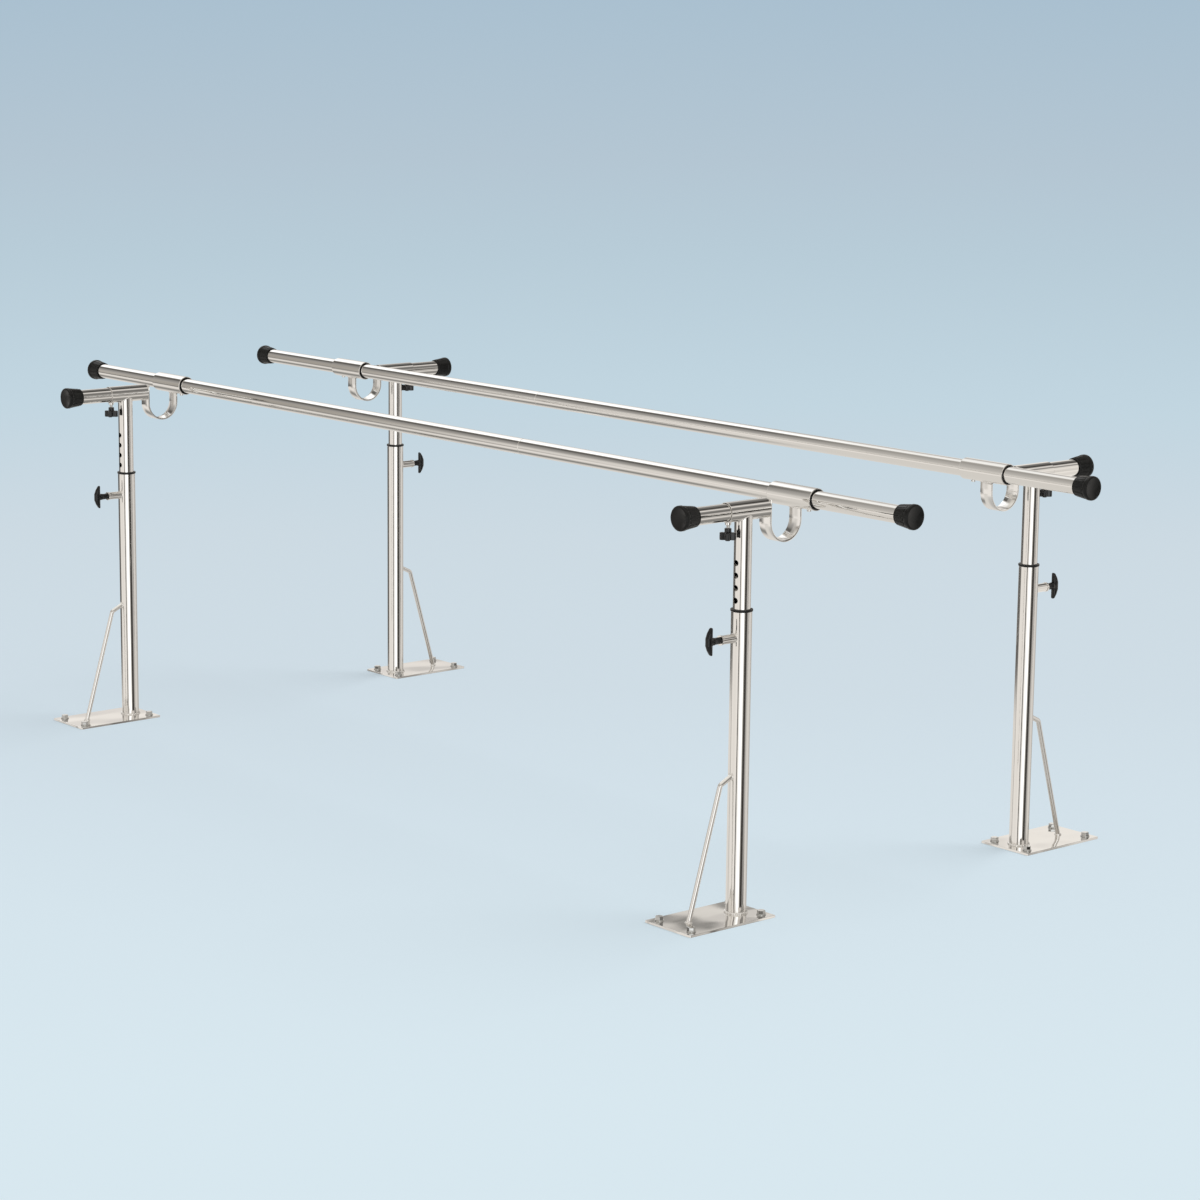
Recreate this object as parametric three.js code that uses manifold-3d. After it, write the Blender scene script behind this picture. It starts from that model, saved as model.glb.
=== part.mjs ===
// Walking parallel bars: two height- and width-adjustable handrails on four floor-bolted stands.
// Millimetres, +Z up. The origin is on the floor under the middle of the two rails.
// X runs along the rails and Y across them. Every stand is the same part: the near pair
// is turned half a turn, so a stand's own +y always points outwards, away from the walking lane.

import * as THREE from 'three';
import { mergeVertices } from 'three/addons/utils/BufferGeometryUtils.js';
import Module from 'manifold-3d';

const wasm = await Module();
wasm.setup();

// Clearances
const fitGap = 0.3; // between pieces that slide or turn in each other
const seatGap = 0.3; // between pieces that rest against each other
const stopGap = 0.5; // between a moving piece and its stop
const overrun = 2; // how far a cutting solid passes the face that it cuts

// Facets round a full turn
const tubeSides = 16;
const smallSides = 10;
const holeSides = 8;
const bendSegments = 8;

// Handrails: one 38 mm grip tube a side, in two lengths joined on a spigot
const railRadius = 19.05;
const railWall = 1.5;
const railLength = 3136;
const railShift = 20; // how far each rail has slipped in its sleeves, the two opposite ways
const rightOverhang = 322; // of an unslipped rail, past the right posts' axes
const leftOverhang = 404;
const railSpacing = 593; // between the rails' axes with the slides fully out
const railRise = 16.5; // the rail's axis above the slide tube's axis
const jointOffset = 311; // from the middle of the rail to the joint
const spigotReach = 60; // each way from the joint
const spigotWall = 2;

// Base plate and its anchor bolts
const plateWidth = 145; // along the rails
const plateLength = 245; // across the rails
const plateThickness = 5;
const plateInnerReach = 49; // from the post's axis to the edge beside the lane
const boltInset = 22;
const boltHeadSides = 6;
const boltHeadAcross = 16; // across the flats
const boltHeadHeight = 8;
const boltFlangeRadius = 10.5;
const boltFlangeThickness = 2.4;

// Outer post
const postWall = 1.5;
const postTop = 661; // above the floor
const footBead = 3.5; // leg of the weld round the post's foot

// Guide bush between the post and the mast
const bushWall = 1.35;
const bushFlangeStep = 1.6; // how far the flange stands proud of the post
const bushFlangeThickness = 4.5;
const bushMargin = 5.4; // from the plunger's pin up to the sleeve's end

// Inner mast with its row of height holes
const mastRadius = 19.05;
const mastWall = 1.5;
const holePitch = 26.7;
const holesAbove = 6; // above the hole in use
const holesBelow = 3;
const mastFoot = 34.7; // from the lowest hole to the tube's end
const loweredMargin = 27.65; // free mast left above the bush when lowered

// Cross sleeve on top of the mast, and the slide tube in it
const armRadius = 19.05;
const armWall = 1.5;
const armClearance = 0.8;
const sleeveWall = 1.5;
const sleeveInnerReach = 61; // from the mast's axis towards the lane
const sleeveMargin = 8; // past the clamp screw's axis
const slideTravel = 87;

// Spring plunger that locks the height
const plungerDrop = 56.2; // below the post's top
const pinRadius = 6;
const pinPlay = 0.5; // between the pin and a hole of the mast
const pinTipGap = 0.4; // the drawn pin stops this far from the mast
const pinPull = 10; // how far the grip pulls the pin out
const collarLip = 0.6; // past the spring
const collarLength = 3;
const collarPlace = 6; // past the post's surface
const neckRadius = 4.2;
const housingWall = 1.9;
const housingEndWall = 5;
const housingRimStep = 1.2;
const housingRimLength = 4;
const springWire = 1.4;
const springTurns = 6;
const springSteps = 8; // in each turn
const springSides = 5;
const springPlay = 0.9; // between the neck and the spring
const springSlack = 5; // left in the spring when the pin is pulled

// T-shaped pull grip
const stemRadius = 7.35;
const stemLength = 22;
const gripLength = 59.5;
const gripWidth = 14;
const gripDepth = 17; // at the stem
const gripTipDepth = 6.5;
const gripSweep = 1; // how far the tips bend back towards the post
const gripEdge = 2.5;

// Clamp knob under the cross sleeve
const clampScrewRadius = 4;
const clampBossRadius = 6.5;
const clampBossLength = 5;
const clampScrewShow = 7; // screw seen between the boss and the knob
const knobHubRadius = 7.3;
const knobHubHeight = 9;
const knobLobeHeight = 16;
const knobReach = 17.5; // to the tip of a lobe
const knobTipRadius = 5.2;
const knobValley = 7.6; // from the axis to the bottom of a valley
const knobLobes = 4;
const knobClearance = 2; // to the bush when the mast is lowered past it

// Brace rod from the post to the plate
const braceRadius = 5.5;
const braceTop = 306; // height where it leaves the post
const braceElbowReach = 52; // from the post's axis
const braceElbowHeight = 291;
const braceFootReach = 136;

// Flat-bar hook that hangs the rail sleeve on the slide tube
const strapWidth = 34;
const strapThickness = 4;
const strapSpan = 87; // between the middles of its two legs
const strapLegDrop = 30.5; // from the slide's axis down to the start of the bend

// Rail sleeve, its liner and its set screw
const railSleeveLength = 130;
const railSleeveWall = 2;
const linerWall = 2.5;
const linerInset = 0.5; // inside each mouth of the sleeve
const setScrewRadius = 3;
const setScrewHeadRadius = 4.6;
const setScrewHeadHeight = 4;
const setScrewInset = 24; // from the sleeve's mouth

// Rubber end caps
const capDepth = 34;
const capEndWall = 9.5;
const capMouthWall = 2.6;
const capFlare = 3.6; // how much wider the body gets towards the face
const capBandStep = 1.3;
const capBandLength = 11;
const capEdge = 1.8;

// Sizes and places that follow
const bushBore = mastRadius + fitGap;
const postBore = bushBore + bushWall + fitGap;
const postRadius = postBore + postWall;
const bushFlangeRadius = postRadius + bushFlangeStep;
const bushTop = postTop + seatGap + bushFlangeThickness;
const holeRadius = pinRadius + pinPlay;
const springRadius = neckRadius + springPlay + springWire / 2;
const collarRadius = springRadius + springWire / 2 + collarLip;
const housingBore = collarRadius + 2 * fitGap;
const housingRadius = housingBore + housingWall;
const collarStart = postRadius + collarPlace;
const springStart = collarStart + collarLength;
const springPressed = (springTurns + 1) * springWire + springSlack;
const housingEnd = springStart + pinPull + springPressed + housingEndWall;
const sleeveBore = armRadius + armClearance;
const sleeveRadius = sleeveBore + sleeveWall;
const armHeight = bushTop + holesAbove * holePitch + loweredMargin + sleeveRadius;
const sleeveUnderside = armHeight - sleeveRadius;
const plungerHeight = postTop - plungerDrop;
const knobPlace = bushFlangeRadius + knobClearance + knobReach;
const sleeveOuterReach = knobPlace + sleeveMargin;
const strapFace = -sleeveInnerReach - stopGap;
const strapLegNear = strapFace - strapThickness / 2;
const strapLegFar = strapLegNear - strapSpan;
const railHeight = armHeight + railRise;
const linerBore = railRadius + fitGap;
const railSleeveBore = linerBore + linerWall + fitGap;
const railSleeveRadius = railSleeveBore + railSleeveWall;
const capMouthPlace = sleeveOuterReach + stopGap + slideTravel;
const armEnd = capMouthPlace + capDepth - seatGap;
const postReach = railSpacing / 2 - strapLegFar;

// Finishes
function finish(color, roughness, metalness) {
  return new THREE.MeshStandardMaterial({ color, roughness, metalness });
}
const chrome = finish(0xd8d5cf, 0.1, 1);
const springSteel = finish(0x9a9a98, 0.3, 1);
const rubber = finish(0x161616, 0.6, 0);
const plastic = finish(0x0d0d0e, 0.35, 0);

// Shapes turned about +z from a closed outline of [radius, height] points
function turned(outline, sides) {
  const points = outline.map(([radius, height]) => new THREE.Vector2(radius, height));
  if (outline[0][0] > 0) points.push(points[0].clone());
  return new THREE.LatheGeometry(points, sides).rotateX(Math.PI / 2);
}

function rod(radius, low, high, sides = tubeSides) {
  return turned([[0, low], [radius, low], [radius, high], [0, high]], sides);
}

function tube(bore, radius, low, high, sides = tubeSides) {
  return turned([[bore, low], [radius, low], [radius, high], [bore, high]], sides);
}

// Turn a shape made along +z to lie along +x or +y
function alongX(geometry) {
  return geometry.rotateY(Math.PI / 2);
}

function alongY(geometry) {
  return geometry.rotateX(-Math.PI / 2);
}

// An outline drawn in y and z, given a width that is centred on x
function crosswise(shape, width, bevel = 0) {
  const straight = width - 2 * bevel;
  const geometry = new THREE.ExtrudeGeometry(shape, {
    depth: straight,
    bevelEnabled: bevel > 0,
    bevelThickness: bevel,
    bevelSize: bevel,
    bevelOffset: -bevel,
    bevelSegments: 1,
    curveSegments: bendSegments,
  }).translate(0, 0, -straight / 2);
  const toY = new THREE.Vector3(0, 1, 0);
  const toZ = new THREE.Vector3(0, 0, 1);
  const toX = new THREE.Vector3(1, 0, 0);
  return geometry.applyMatrix4(new THREE.Matrix4().makeBasis(toY, toZ, toX));
}

// A straight rod between two points
function rodBetween(start, end, radius) {
  const line = new THREE.Vector3().subVectors(end, start);
  const turn = new THREE.Quaternion().setFromUnitVectors(
    new THREE.Vector3(0, 0, 1),
    line.clone().normalize(),
  );
  const middle = new THREE.Vector3().addVectors(start, end).divideScalar(2);
  const half = line.length() / 2;
  return rod(radius, -half, half, smallSides)
    .applyQuaternion(turn)
    .translate(middle.x, middle.y, middle.z);
}

// A closed surface becomes a solid that can be joined and cut
function solid(geometry) {
  const bare = geometry.clone();
  bare.deleteAttribute('normal');
  bare.deleteAttribute('uv');
  const welded = mergeVertices(bare);
  const corners = welded.index.array;
  const triangles = [];
  for (let at = 0; at < corners.length; at += 3) {
    const [a, b, c] = corners.subarray(at, at + 3);
    if (a !== b && b !== c && c !== a) triangles.push(a, b, c);
  }
  return new wasm.Manifold(new wasm.Mesh({
    numProp: 3,
    vertProperties: welded.attributes.position.array,
    triVerts: new Uint32Array(triangles),
  }));
}

function joined(...geometries) {
  return geometries.map(solid).reduce((whole, next) => whole.add(next));
}

function cut(whole, ...geometries) {
  return geometries.map(solid).reduce((left, next) => left.subtract(next), whole);
}

// A solid becomes a named piece
function piece(name, whole, material) {
  const { vertProperties, triVerts } = whole.getMesh();
  const geometry = new THREE.BufferGeometry();
  geometry.setAttribute('position', new THREE.BufferAttribute(vertProperties, 3));
  geometry.setIndex(new THREE.BufferAttribute(triVerts, 1));
  const mesh = new THREE.Mesh(geometry, material);
  mesh.name = name;
  return mesh;
}

// Steel plate with a hexagon-headed anchor bolt near each corner
function basePlate() {
  const plate = new THREE.BoxGeometry(plateWidth, plateLength, plateThickness)
    .translate(0, plateLength / 2 - plateInnerReach, plateThickness / 2);
  const boltX = plateWidth / 2 - boltInset;
  const boltYs = [boltInset - plateInnerReach, plateLength - plateInnerReach - boltInset];
  const headCorner = boltHeadAcross / 2 / Math.cos(Math.PI / boltHeadSides);
  const flangeTop = plateThickness + boltFlangeThickness;
  const bolts = [];
  for (const x of [-boltX, boltX]) {
    for (const y of boltYs) {
      bolts.push(rod(boltFlangeRadius, plateThickness / 2, flangeTop, smallSides)
        .translate(x, y, 0));
      bolts.push(rod(headCorner, plateThickness / 2, flangeTop + boltHeadHeight, boltHeadSides)
        .translate(x, y, 0));
    }
  }
  return joined(plate, ...bolts);
}

// Outer tube, with the weld round its foot and the hole for the plunger's pin
function postTube() {
  const wall = turned([
    [postBore, plateThickness],
    [postRadius + footBead, plateThickness],
    [postRadius, plateThickness + footBead],
    [postRadius, postTop],
    [postBore, postTop],
  ], tubeSides);
  const pinHole = alongY(rod(pinRadius + fitGap, 0, postRadius + overrun, smallSides))
    .translate(0, 0, plungerHeight);
  return cut(solid(wall), pinHole);
}

// Flanged bush: the black ring at the post's mouth and the sleeve below it
function postBush() {
  const sleeveEnd = plungerHeight + pinRadius + bushMargin;
  return solid(turned([
    [bushBore, sleeveEnd],
    [postBore - fitGap, sleeveEnd],
    [postBore - fitGap, postTop + seatGap],
    [bushFlangeRadius, postTop + seatGap],
    [bushFlangeRadius, bushTop],
    [bushBore, bushTop],
  ], tubeSides));
}

// Round bar with one bend, cut to the post at its top and to the plate at its foot
function braceRod() {
  const start = new THREE.Vector3(0, postBore, braceTop);
  const elbow = new THREE.Vector3(0, braceElbowReach, braceElbowHeight);
  const foot = new THREE.Vector3(0, braceFootReach, 0);
  const bend = new THREE.SphereGeometry(braceRadius, smallSides, bendSegments)
    .translate(elbow.x, elbow.y, elbow.z);
  const bar = joined(
    rodBetween(start, elbow, braceRadius),
    bend,
    rodBetween(elbow, foot, braceRadius),
  );
  const post = rod(postRadius + seatGap, 0, postTop);
  const plate = new THREE.BoxGeometry(plateWidth, plateLength, 2 * (plateThickness + seatGap))
    .translate(0, braceFootReach, 0);
  return cut(bar, post, plate);
}

// Stub tube that guides the plunger, saddled to the post
function plungerHousing() {
  const rimStart = housingEnd - housingRimLength;
  const shell = alongY(turned([
    [housingBore, 0],
    [housingRadius, 0],
    [housingRadius, rimStart],
    [housingRadius + housingRimStep, rimStart + housingRimStep],
    [housingRadius + housingRimStep, housingEnd],
    [neckRadius + fitGap, housingEnd],
    [neckRadius + fitGap, housingEnd - housingEndWall],
    [housingBore, housingEnd - housingEndWall],
  ], smallSides)).translate(0, 0, plungerHeight);
  const post = rod(postRadius + seatGap, 0, postTop);
  return cut(solid(shell), post);
}

// Helix along +y, from the collar of the pin to the end wall of the housing
class Helix extends THREE.Curve {
  constructor(radius, start, end, turns) {
    super();
    Object.assign(this, { radius, start, end, turns });
  }

  getPoint(share, target = new THREE.Vector3()) {
    const angle = share * this.turns * 2 * Math.PI;
    return target.set(
      this.radius * Math.cos(angle),
      this.start + (this.end - this.start) * share,
      this.radius * Math.sin(angle),
    );
  }
}

function plungerSpring() {
  const inset = seatGap + springWire / 2;
  const start = springStart + inset;
  const end = housingEnd - housingEndWall - inset;
  const corners = Array.from({ length: springSides }, (_, corner) => {
    const angle = (corner / springSides) * 2 * Math.PI;
    return new THREE.Vector2(Math.cos(angle), Math.sin(angle)).multiplyScalar(springWire / 2);
  });
  const coil = new THREE.ExtrudeGeometry(new THREE.Shape(corners), {
    steps: springTurns * springSteps,
    extrudePath: new Helix(springRadius, start, end, springTurns),
  });
  return solid(coil.translate(0, 0, plungerHeight));
}

// Crescent of the pull grip, drawn in y (outwards) and z (up)
function gripOutline(inner, outer) {
  const half = gripLength / 2;
  const tipInner = inner - gripSweep;
  const tipOuter = tipInner + gripTipDepth;
  const outline = new THREE.Shape();
  outline.moveTo(tipInner, half);
  outline.quadraticCurveTo(2 * inner - tipInner, 0, tipInner, -half);
  outline.lineTo(tipOuter, -half);
  outline.quadraticCurveTo(2 * outer - tipOuter, 0, tipOuter, half);
  outline.closePath();
  return outline;
}

// Pin, collar, neck, stem and T-grip move as one piece
function plungerHandle() {
  const stemStart = housingEnd + seatGap;
  const stemEnd = stemStart + stemLength;
  const spindle = alongY(turned([
    [0, mastRadius + pinTipGap],
    [pinRadius, mastRadius + pinTipGap],
    [pinRadius, collarStart],
    [collarRadius, collarStart],
    [collarRadius, springStart],
    [neckRadius, springStart],
    [neckRadius, stemStart],
    [stemRadius, stemStart],
    [stemRadius, stemEnd + gripEdge],
    [0, stemEnd + gripEdge],
  ], smallSides));
  const grip = crosswise(gripOutline(stemEnd, stemEnd + gripDepth), gripWidth, gripEdge);
  return joined(spindle.translate(0, 0, plungerHeight), grip.translate(0, 0, plungerHeight));
}

// Mast tube with its holes, the cross sleeve welded on top, and the boss for the clamp screw
function mast() {
  const lowestHole = plungerHeight - holesBelow * holePitch;
  const upright = tube(mastRadius - mastWall, mastRadius, lowestHole - mastFoot, armHeight);
  const sleeve = alongY(rod(sleeveRadius, -sleeveInnerReach, sleeveOuterReach))
    .translate(0, 0, armHeight);
  const boss = rod(clampBossRadius, sleeveUnderside - clampBossLength, armHeight, smallSides)
    .translate(0, knobPlace, 0);
  const bore = alongY(rod(sleeveBore, -sleeveInnerReach - overrun, sleeveOuterReach + overrun))
    .translate(0, 0, armHeight);
  const screwHole = rod(
    clampScrewRadius + fitGap,
    sleeveUnderside - clampBossLength - overrun,
    armHeight,
    smallSides,
  ).translate(0, knobPlace, 0);
  const holes = [];
  for (let step = -holesBelow; step <= holesAbove; step += 1) {
    holes.push(alongY(rod(holeRadius, 0, mastRadius + overrun, holeSides))
      .translate(0, 0, plungerHeight + step * holePitch));
  }
  return cut(joined(upright, sleeve, boss), bore, screwHole, ...holes);
}

// Lobed outline of the knob, with a lobe on each diagonal
function knobOutline() {
  const outline = new THREE.Shape();
  const step = (2 * Math.PI) / knobLobes;
  const tipPlace = knobReach - knobTipRadius;
  for (let lobe = 0; lobe < knobLobes; lobe += 1) {
    const angle = (lobe + 0.5) * step;
    const valley = angle - step / 2;
    outline.lineTo(knobValley * Math.cos(valley), knobValley * Math.sin(valley));
    outline.absarc(
      tipPlace * Math.cos(angle),
      tipPlace * Math.sin(angle),
      knobTipRadius,
      angle - Math.PI / 2,
      angle + Math.PI / 2,
    );
  }
  outline.closePath();
  return outline;
}

function clampKnob() {
  const knobTop = sleeveUnderside - clampBossLength - clampScrewShow;
  const lobeTop = knobTop - knobHubHeight;
  const lobes = new THREE.ExtrudeGeometry(knobOutline(), {
    depth: knobLobeHeight,
    bevelEnabled: false,
    curveSegments: bendSegments / 2,
  }).translate(0, 0, lobeTop - knobLobeHeight);
  const hub = rod(knobHubRadius, lobeTop - overrun, knobTop, smallSides);
  const screwTip = armHeight - armRadius - seatGap;
  const screw = rod(clampScrewRadius, knobTop - overrun, screwTip, smallSides);
  return joined(lobes, hub, screw).translate([0, knobPlace, 0]);
}

// Tube that slides in the cross sleeve, from the hook to inside its end cap
function slideTube() {
  const slide = tube(armRadius - armWall, armRadius, strapFace + seatGap, armEnd);
  return solid(alongY(slide).translate(0, 0, armHeight));
}

// Cup-shaped rubber cap with a wider band at its face; its mouth is at zero, along +z
function endCap(tubeRadius) {
  const mouthRadius = tubeRadius + fitGap + capMouthWall;
  const flareRadius = mouthRadius + capFlare;
  const bandRadius = flareRadius + capBandStep;
  const face = capDepth + capEndWall;
  return turned([
    [tubeRadius + fitGap, 0],
    [mouthRadius, 0],
    [flareRadius, face - capBandLength],
    [bandRadius, face - capBandLength + capBandStep],
    [bandRadius, face - capEdge],
    [bandRadius - capEdge, face],
    [0, face],
    [0, capDepth],
    [tubeRadius + fitGap, capDepth],
  ], tubeSides);
}

function slideCap() {
  return solid(alongY(endCap(armRadius)).translate(0, capMouthPlace, armHeight));
}

// U-shaped flat bar, drawn in y and z
function strapOutline() {
  const half = strapThickness / 2;
  const bendY = (strapLegNear + strapLegFar) / 2;
  const bendZ = armHeight - strapLegDrop;
  const bendRadius = strapSpan / 2;
  const nearTop = armHeight + armRadius;
  const farTop = railHeight - railSleeveBore;
  const outline = new THREE.Shape();
  outline.moveTo(strapLegNear + half, nearTop);
  outline.lineTo(strapLegNear + half, bendZ);
  outline.absarc(bendY, bendZ, bendRadius + half, 0, -Math.PI, true);
  outline.lineTo(strapLegFar - half, farTop);
  outline.lineTo(strapLegFar + half, farTop);
  outline.lineTo(strapLegFar + half, bendZ);
  outline.absarc(bendY, bendZ, bendRadius - half, -Math.PI, 0, false);
  outline.lineTo(strapLegNear - half, nearTop);
  outline.closePath();
  return outline;
}

// Place of the set screw along the rail sleeve
const setScrewPlace = setScrewInset - railSleeveLength / 2;

// Hook and rail sleeve are one weldment, with the set screw in place
function railHanger() {
  const half = railSleeveLength / 2;
  const sleeve = alongX(rod(railSleeveRadius, -half, half))
    .translate(0, strapLegFar, railHeight);
  const bore = alongX(rod(railSleeveBore, -half - overrun, half + overrun))
    .translate(0, strapLegFar, railHeight);
  const welded = cut(joined(crosswise(strapOutline(), strapWidth), sleeve), bore);
  const headTop = railHeight - railSleeveRadius;
  const screw = turned([
    [0, headTop - setScrewHeadHeight],
    [setScrewHeadRadius, headTop - setScrewHeadHeight],
    [setScrewHeadRadius, headTop + railSleeveWall / 2],
    [setScrewRadius, headTop + railSleeveWall / 2],
    [setScrewRadius, railHeight - railRadius - seatGap],
    [0, railHeight - railRadius - seatGap],
  ], smallSides).translate(setScrewPlace, strapLegFar, 0);
  return welded.add(solid(screw));
}

// Plastic liner between the rail sleeve and the rail
function railLiner() {
  const half = railSleeveLength / 2 - linerInset;
  const liner = alongX(tube(linerBore, linerBore + linerWall, -half, half))
    .translate(0, strapLegFar, railHeight);
  const screwHole = rod(
    setScrewRadius + fitGap,
    railHeight - railSleeveRadius,
    railHeight,
    smallSides,
  ).translate(setScrewPlace, strapLegFar, 0);
  return cut(solid(liner), screwHole);
}

// One stand, with everything that it carries up to the rail sleeve
function stand(place) {
  const group = new THREE.Group();
  group.add(
    piece(`base_plate_${place}`, basePlate(), chrome),
    piece(`post_tube_${place}`, postTube(), chrome),
    piece(`post_bush_${place}`, postBush(), plastic),
    piece(`brace_rod_${place}`, braceRod(), chrome),
    piece(`plunger_housing_${place}`, plungerHousing(), chrome),
    piece(`plunger_spring_${place}`, plungerSpring(), springSteel),
    piece(`plunger_handle_${place}`, plungerHandle(), plastic),
    piece(`mast_${place}`, mast(), chrome),
    piece(`clamp_knob_${place}`, clampKnob(), plastic),
    piece(`slide_tube_${place}`, slideTube(), chrome),
    piece(`slide_cap_${place}`, slideCap(), rubber),
    piece(`rail_hanger_${place}`, railHanger(), chrome),
    piece(`rail_liner_${place}`, railLiner(), plastic),
  );
  return group;
}

// The long length of a rail, from its joint towards +x
function longRail() {
  const rail = tube(railRadius - railWall, railRadius, seatGap - jointOffset, railLength / 2);
  return solid(alongX(rail));
}

// The short length carries the spigot that enters the long one
function shortRail() {
  const bore = railRadius - railWall;
  const spigotRadius = bore - fitGap;
  const spigotBore = spigotRadius - spigotWall;
  return solid(alongX(turned([
    [bore, -railLength / 2],
    [railRadius, -railLength / 2],
    [railRadius, -jointOffset],
    [spigotRadius, -jointOffset],
    [spigotRadius, spigotReach - jointOffset],
    [spigotBore, spigotReach - jointOffset],
    [spigotBore, -spigotReach - jointOffset],
    [bore, -spigotReach - jointOffset],
  ], tubeSides)));
}

// One rail with its two end caps; the caps are named by the end that they are on
function handrail(side, plusEnd, minusEnd) {
  const capMouth = railLength / 2 + seatGap - capDepth;
  const plusCap = solid(alongX(endCap(railRadius).translate(0, 0, capMouth)));
  const minusCap = solid(alongX(endCap(railRadius).translate(0, 0, capMouth)).rotateZ(Math.PI));
  const group = new THREE.Group();
  group.add(
    piece(`rail_long_${side}`, longRail(), chrome),
    piece(`rail_short_${side}`, shortRail(), chrome),
    piece(`rail_cap_${side}_${plusEnd}`, plusCap, rubber),
    piece(`rail_cap_${side}_${minusEnd}`, minusCap, rubber),
  );
  return group;
}

// The whole set: each side has one rail and two stands
const bars = new THREE.Group();
const sides = [
  { side: 'far', outward: 1, turn: 0, plusEnd: 'right', minusEnd: 'left' },
  { side: 'near', outward: -1, turn: Math.PI, plusEnd: 'left', minusEnd: 'right' },
];
const ends = [
  { end: 'right', along: railLength / 2 - rightOverhang },
  { end: 'left', along: leftOverhang - railLength / 2 },
];
for (const { side, outward, turn, plusEnd, minusEnd } of sides) {
  const rail = handrail(side, plusEnd, minusEnd);
  rail.position.set(-outward * railShift, (outward * railSpacing) / 2, railHeight);
  rail.rotation.z = turn;
  bars.add(rail);
  for (const { end, along } of ends) {
    const carrier = stand(`${side}_${end}`);
    carrier.position.set(along, outward * postReach, 0);
    carrier.rotation.z = turn;
    bars.add(carrier);
  }
}

export default bars;
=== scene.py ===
# %% [markdown]
# # Walking parallel bars
# Two polished handrails stand on four floor-bolted supports, so that a person can practise
# walking between them. Each support has a post, a mast that slides in it, a cross sleeve with a
# sliding arm, and a hook that carries the rail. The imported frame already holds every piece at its
# true place and size, with flat facets. This script gives each of them its smooth surface and
# its finish, and never moves one.

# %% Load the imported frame
from math import atan2, cos, hypot, pi, radians, sin, sqrt

import bmesh
import bpy
from mathutils import Matrix, Vector


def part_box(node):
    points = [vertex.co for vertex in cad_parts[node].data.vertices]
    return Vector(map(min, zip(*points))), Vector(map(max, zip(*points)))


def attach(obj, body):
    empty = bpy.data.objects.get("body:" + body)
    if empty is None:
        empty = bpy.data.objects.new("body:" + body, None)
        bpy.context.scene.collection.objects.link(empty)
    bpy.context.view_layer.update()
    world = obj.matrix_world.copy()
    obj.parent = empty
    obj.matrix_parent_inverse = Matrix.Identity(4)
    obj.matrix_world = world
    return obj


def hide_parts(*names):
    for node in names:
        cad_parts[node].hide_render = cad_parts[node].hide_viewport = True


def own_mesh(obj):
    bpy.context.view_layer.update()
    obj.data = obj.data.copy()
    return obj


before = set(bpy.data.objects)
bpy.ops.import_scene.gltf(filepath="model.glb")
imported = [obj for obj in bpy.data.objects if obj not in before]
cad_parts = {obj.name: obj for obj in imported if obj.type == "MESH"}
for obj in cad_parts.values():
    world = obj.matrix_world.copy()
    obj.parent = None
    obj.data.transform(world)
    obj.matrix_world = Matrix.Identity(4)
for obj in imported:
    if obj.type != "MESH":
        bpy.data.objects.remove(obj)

MM = 0.001
UP = Vector((0, 0, 1))
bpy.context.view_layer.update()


def put(name, data):
    """Make an object at the origin and link it to the scene."""
    made = bpy.data.objects.new(name, data)
    bpy.context.scene.collection.objects.link(made)
    return made


# %% [markdown]
# ## Camera
# The photograph was taken from a little above the rails, off one corner, with a long lens. A
# camera could be aimed by eye, but its place, its three turns and its focal length can also be
# solved from points whose real places are known, such as the feet of the four posts. The solved
# values are written here, and the lens follows from the focal length in pixels of the picture.

# %% Camera
IMAGE_PIXELS = 1200
FOCAL_PIXELS = 3173.8
CAMERA_PLACE = Vector((6.032, -4.930, 1.931))
CAMERA_YAW = radians(-49.478)
CAMERA_PITCH = radians(10.805)
CAMERA_ROLL = radians(0.645)


def make_camera():
    """Build the camera's axes from its yaw, pitch and roll."""
    forward = Vector((
        cos(CAMERA_PITCH) * sin(CAMERA_YAW),
        cos(CAMERA_PITCH) * cos(CAMERA_YAW),
        -sin(CAMERA_PITCH),
    ))
    level = forward.cross(UP).normalized()
    upright = level.cross(forward)
    right = cos(CAMERA_ROLL) * level + sin(CAMERA_ROLL) * upright
    top = cos(CAMERA_ROLL) * upright - sin(CAMERA_ROLL) * level
    axes = Matrix((right, top, -forward)).transposed().to_4x4()
    camera = put("camera", bpy.data.cameras.new("camera"))
    camera.data.lens = camera.data.sensor_width * FOCAL_PIXELS / IMAGE_PIXELS
    camera.matrix_world = Matrix.Translation(CAMERA_PLACE) @ axes
    bpy.context.scene.camera = camera
    return camera


camera = make_camera()
print("lens", round(camera.data.lens, 2), "mm")

# %% [markdown]
# ## Places of the stands
# All four stands are the same part. Modelling one of them in its own frame, with the post's axis
# as Z and +Y pointing away from the walking lane, means that each shape is made once and then
# copied to four places. The far pair stands as modelled, and the near pair is turned by half a
# turn. The post tube's own box gives the axis of each stand.

# %% Places measured from the frame
PLACES = ("near_right", "near_left", "far_right", "far_left")
OUTWARD = {"near": -1, "far": 1}
HOME = "far_right"


def stand_place(place):
    """The move from a stand's own frame to the frame of the whole object."""
    low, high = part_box(f"post_tube_{place}")
    turn = pi if place.startswith("near") else 0
    middle = (low + high) / 2
    return Matrix.Translation((middle.x, middle.y, 0)) @ Matrix.Rotation(turn, 4, "Z")


def own_box(node):
    """A node's corners in the frame of its stand, read from the stand that isn't turned."""
    home = stand_place(HOME).inverted()
    low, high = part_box(f"{node}_{HOME}")
    return home @ low, home @ high


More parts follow.
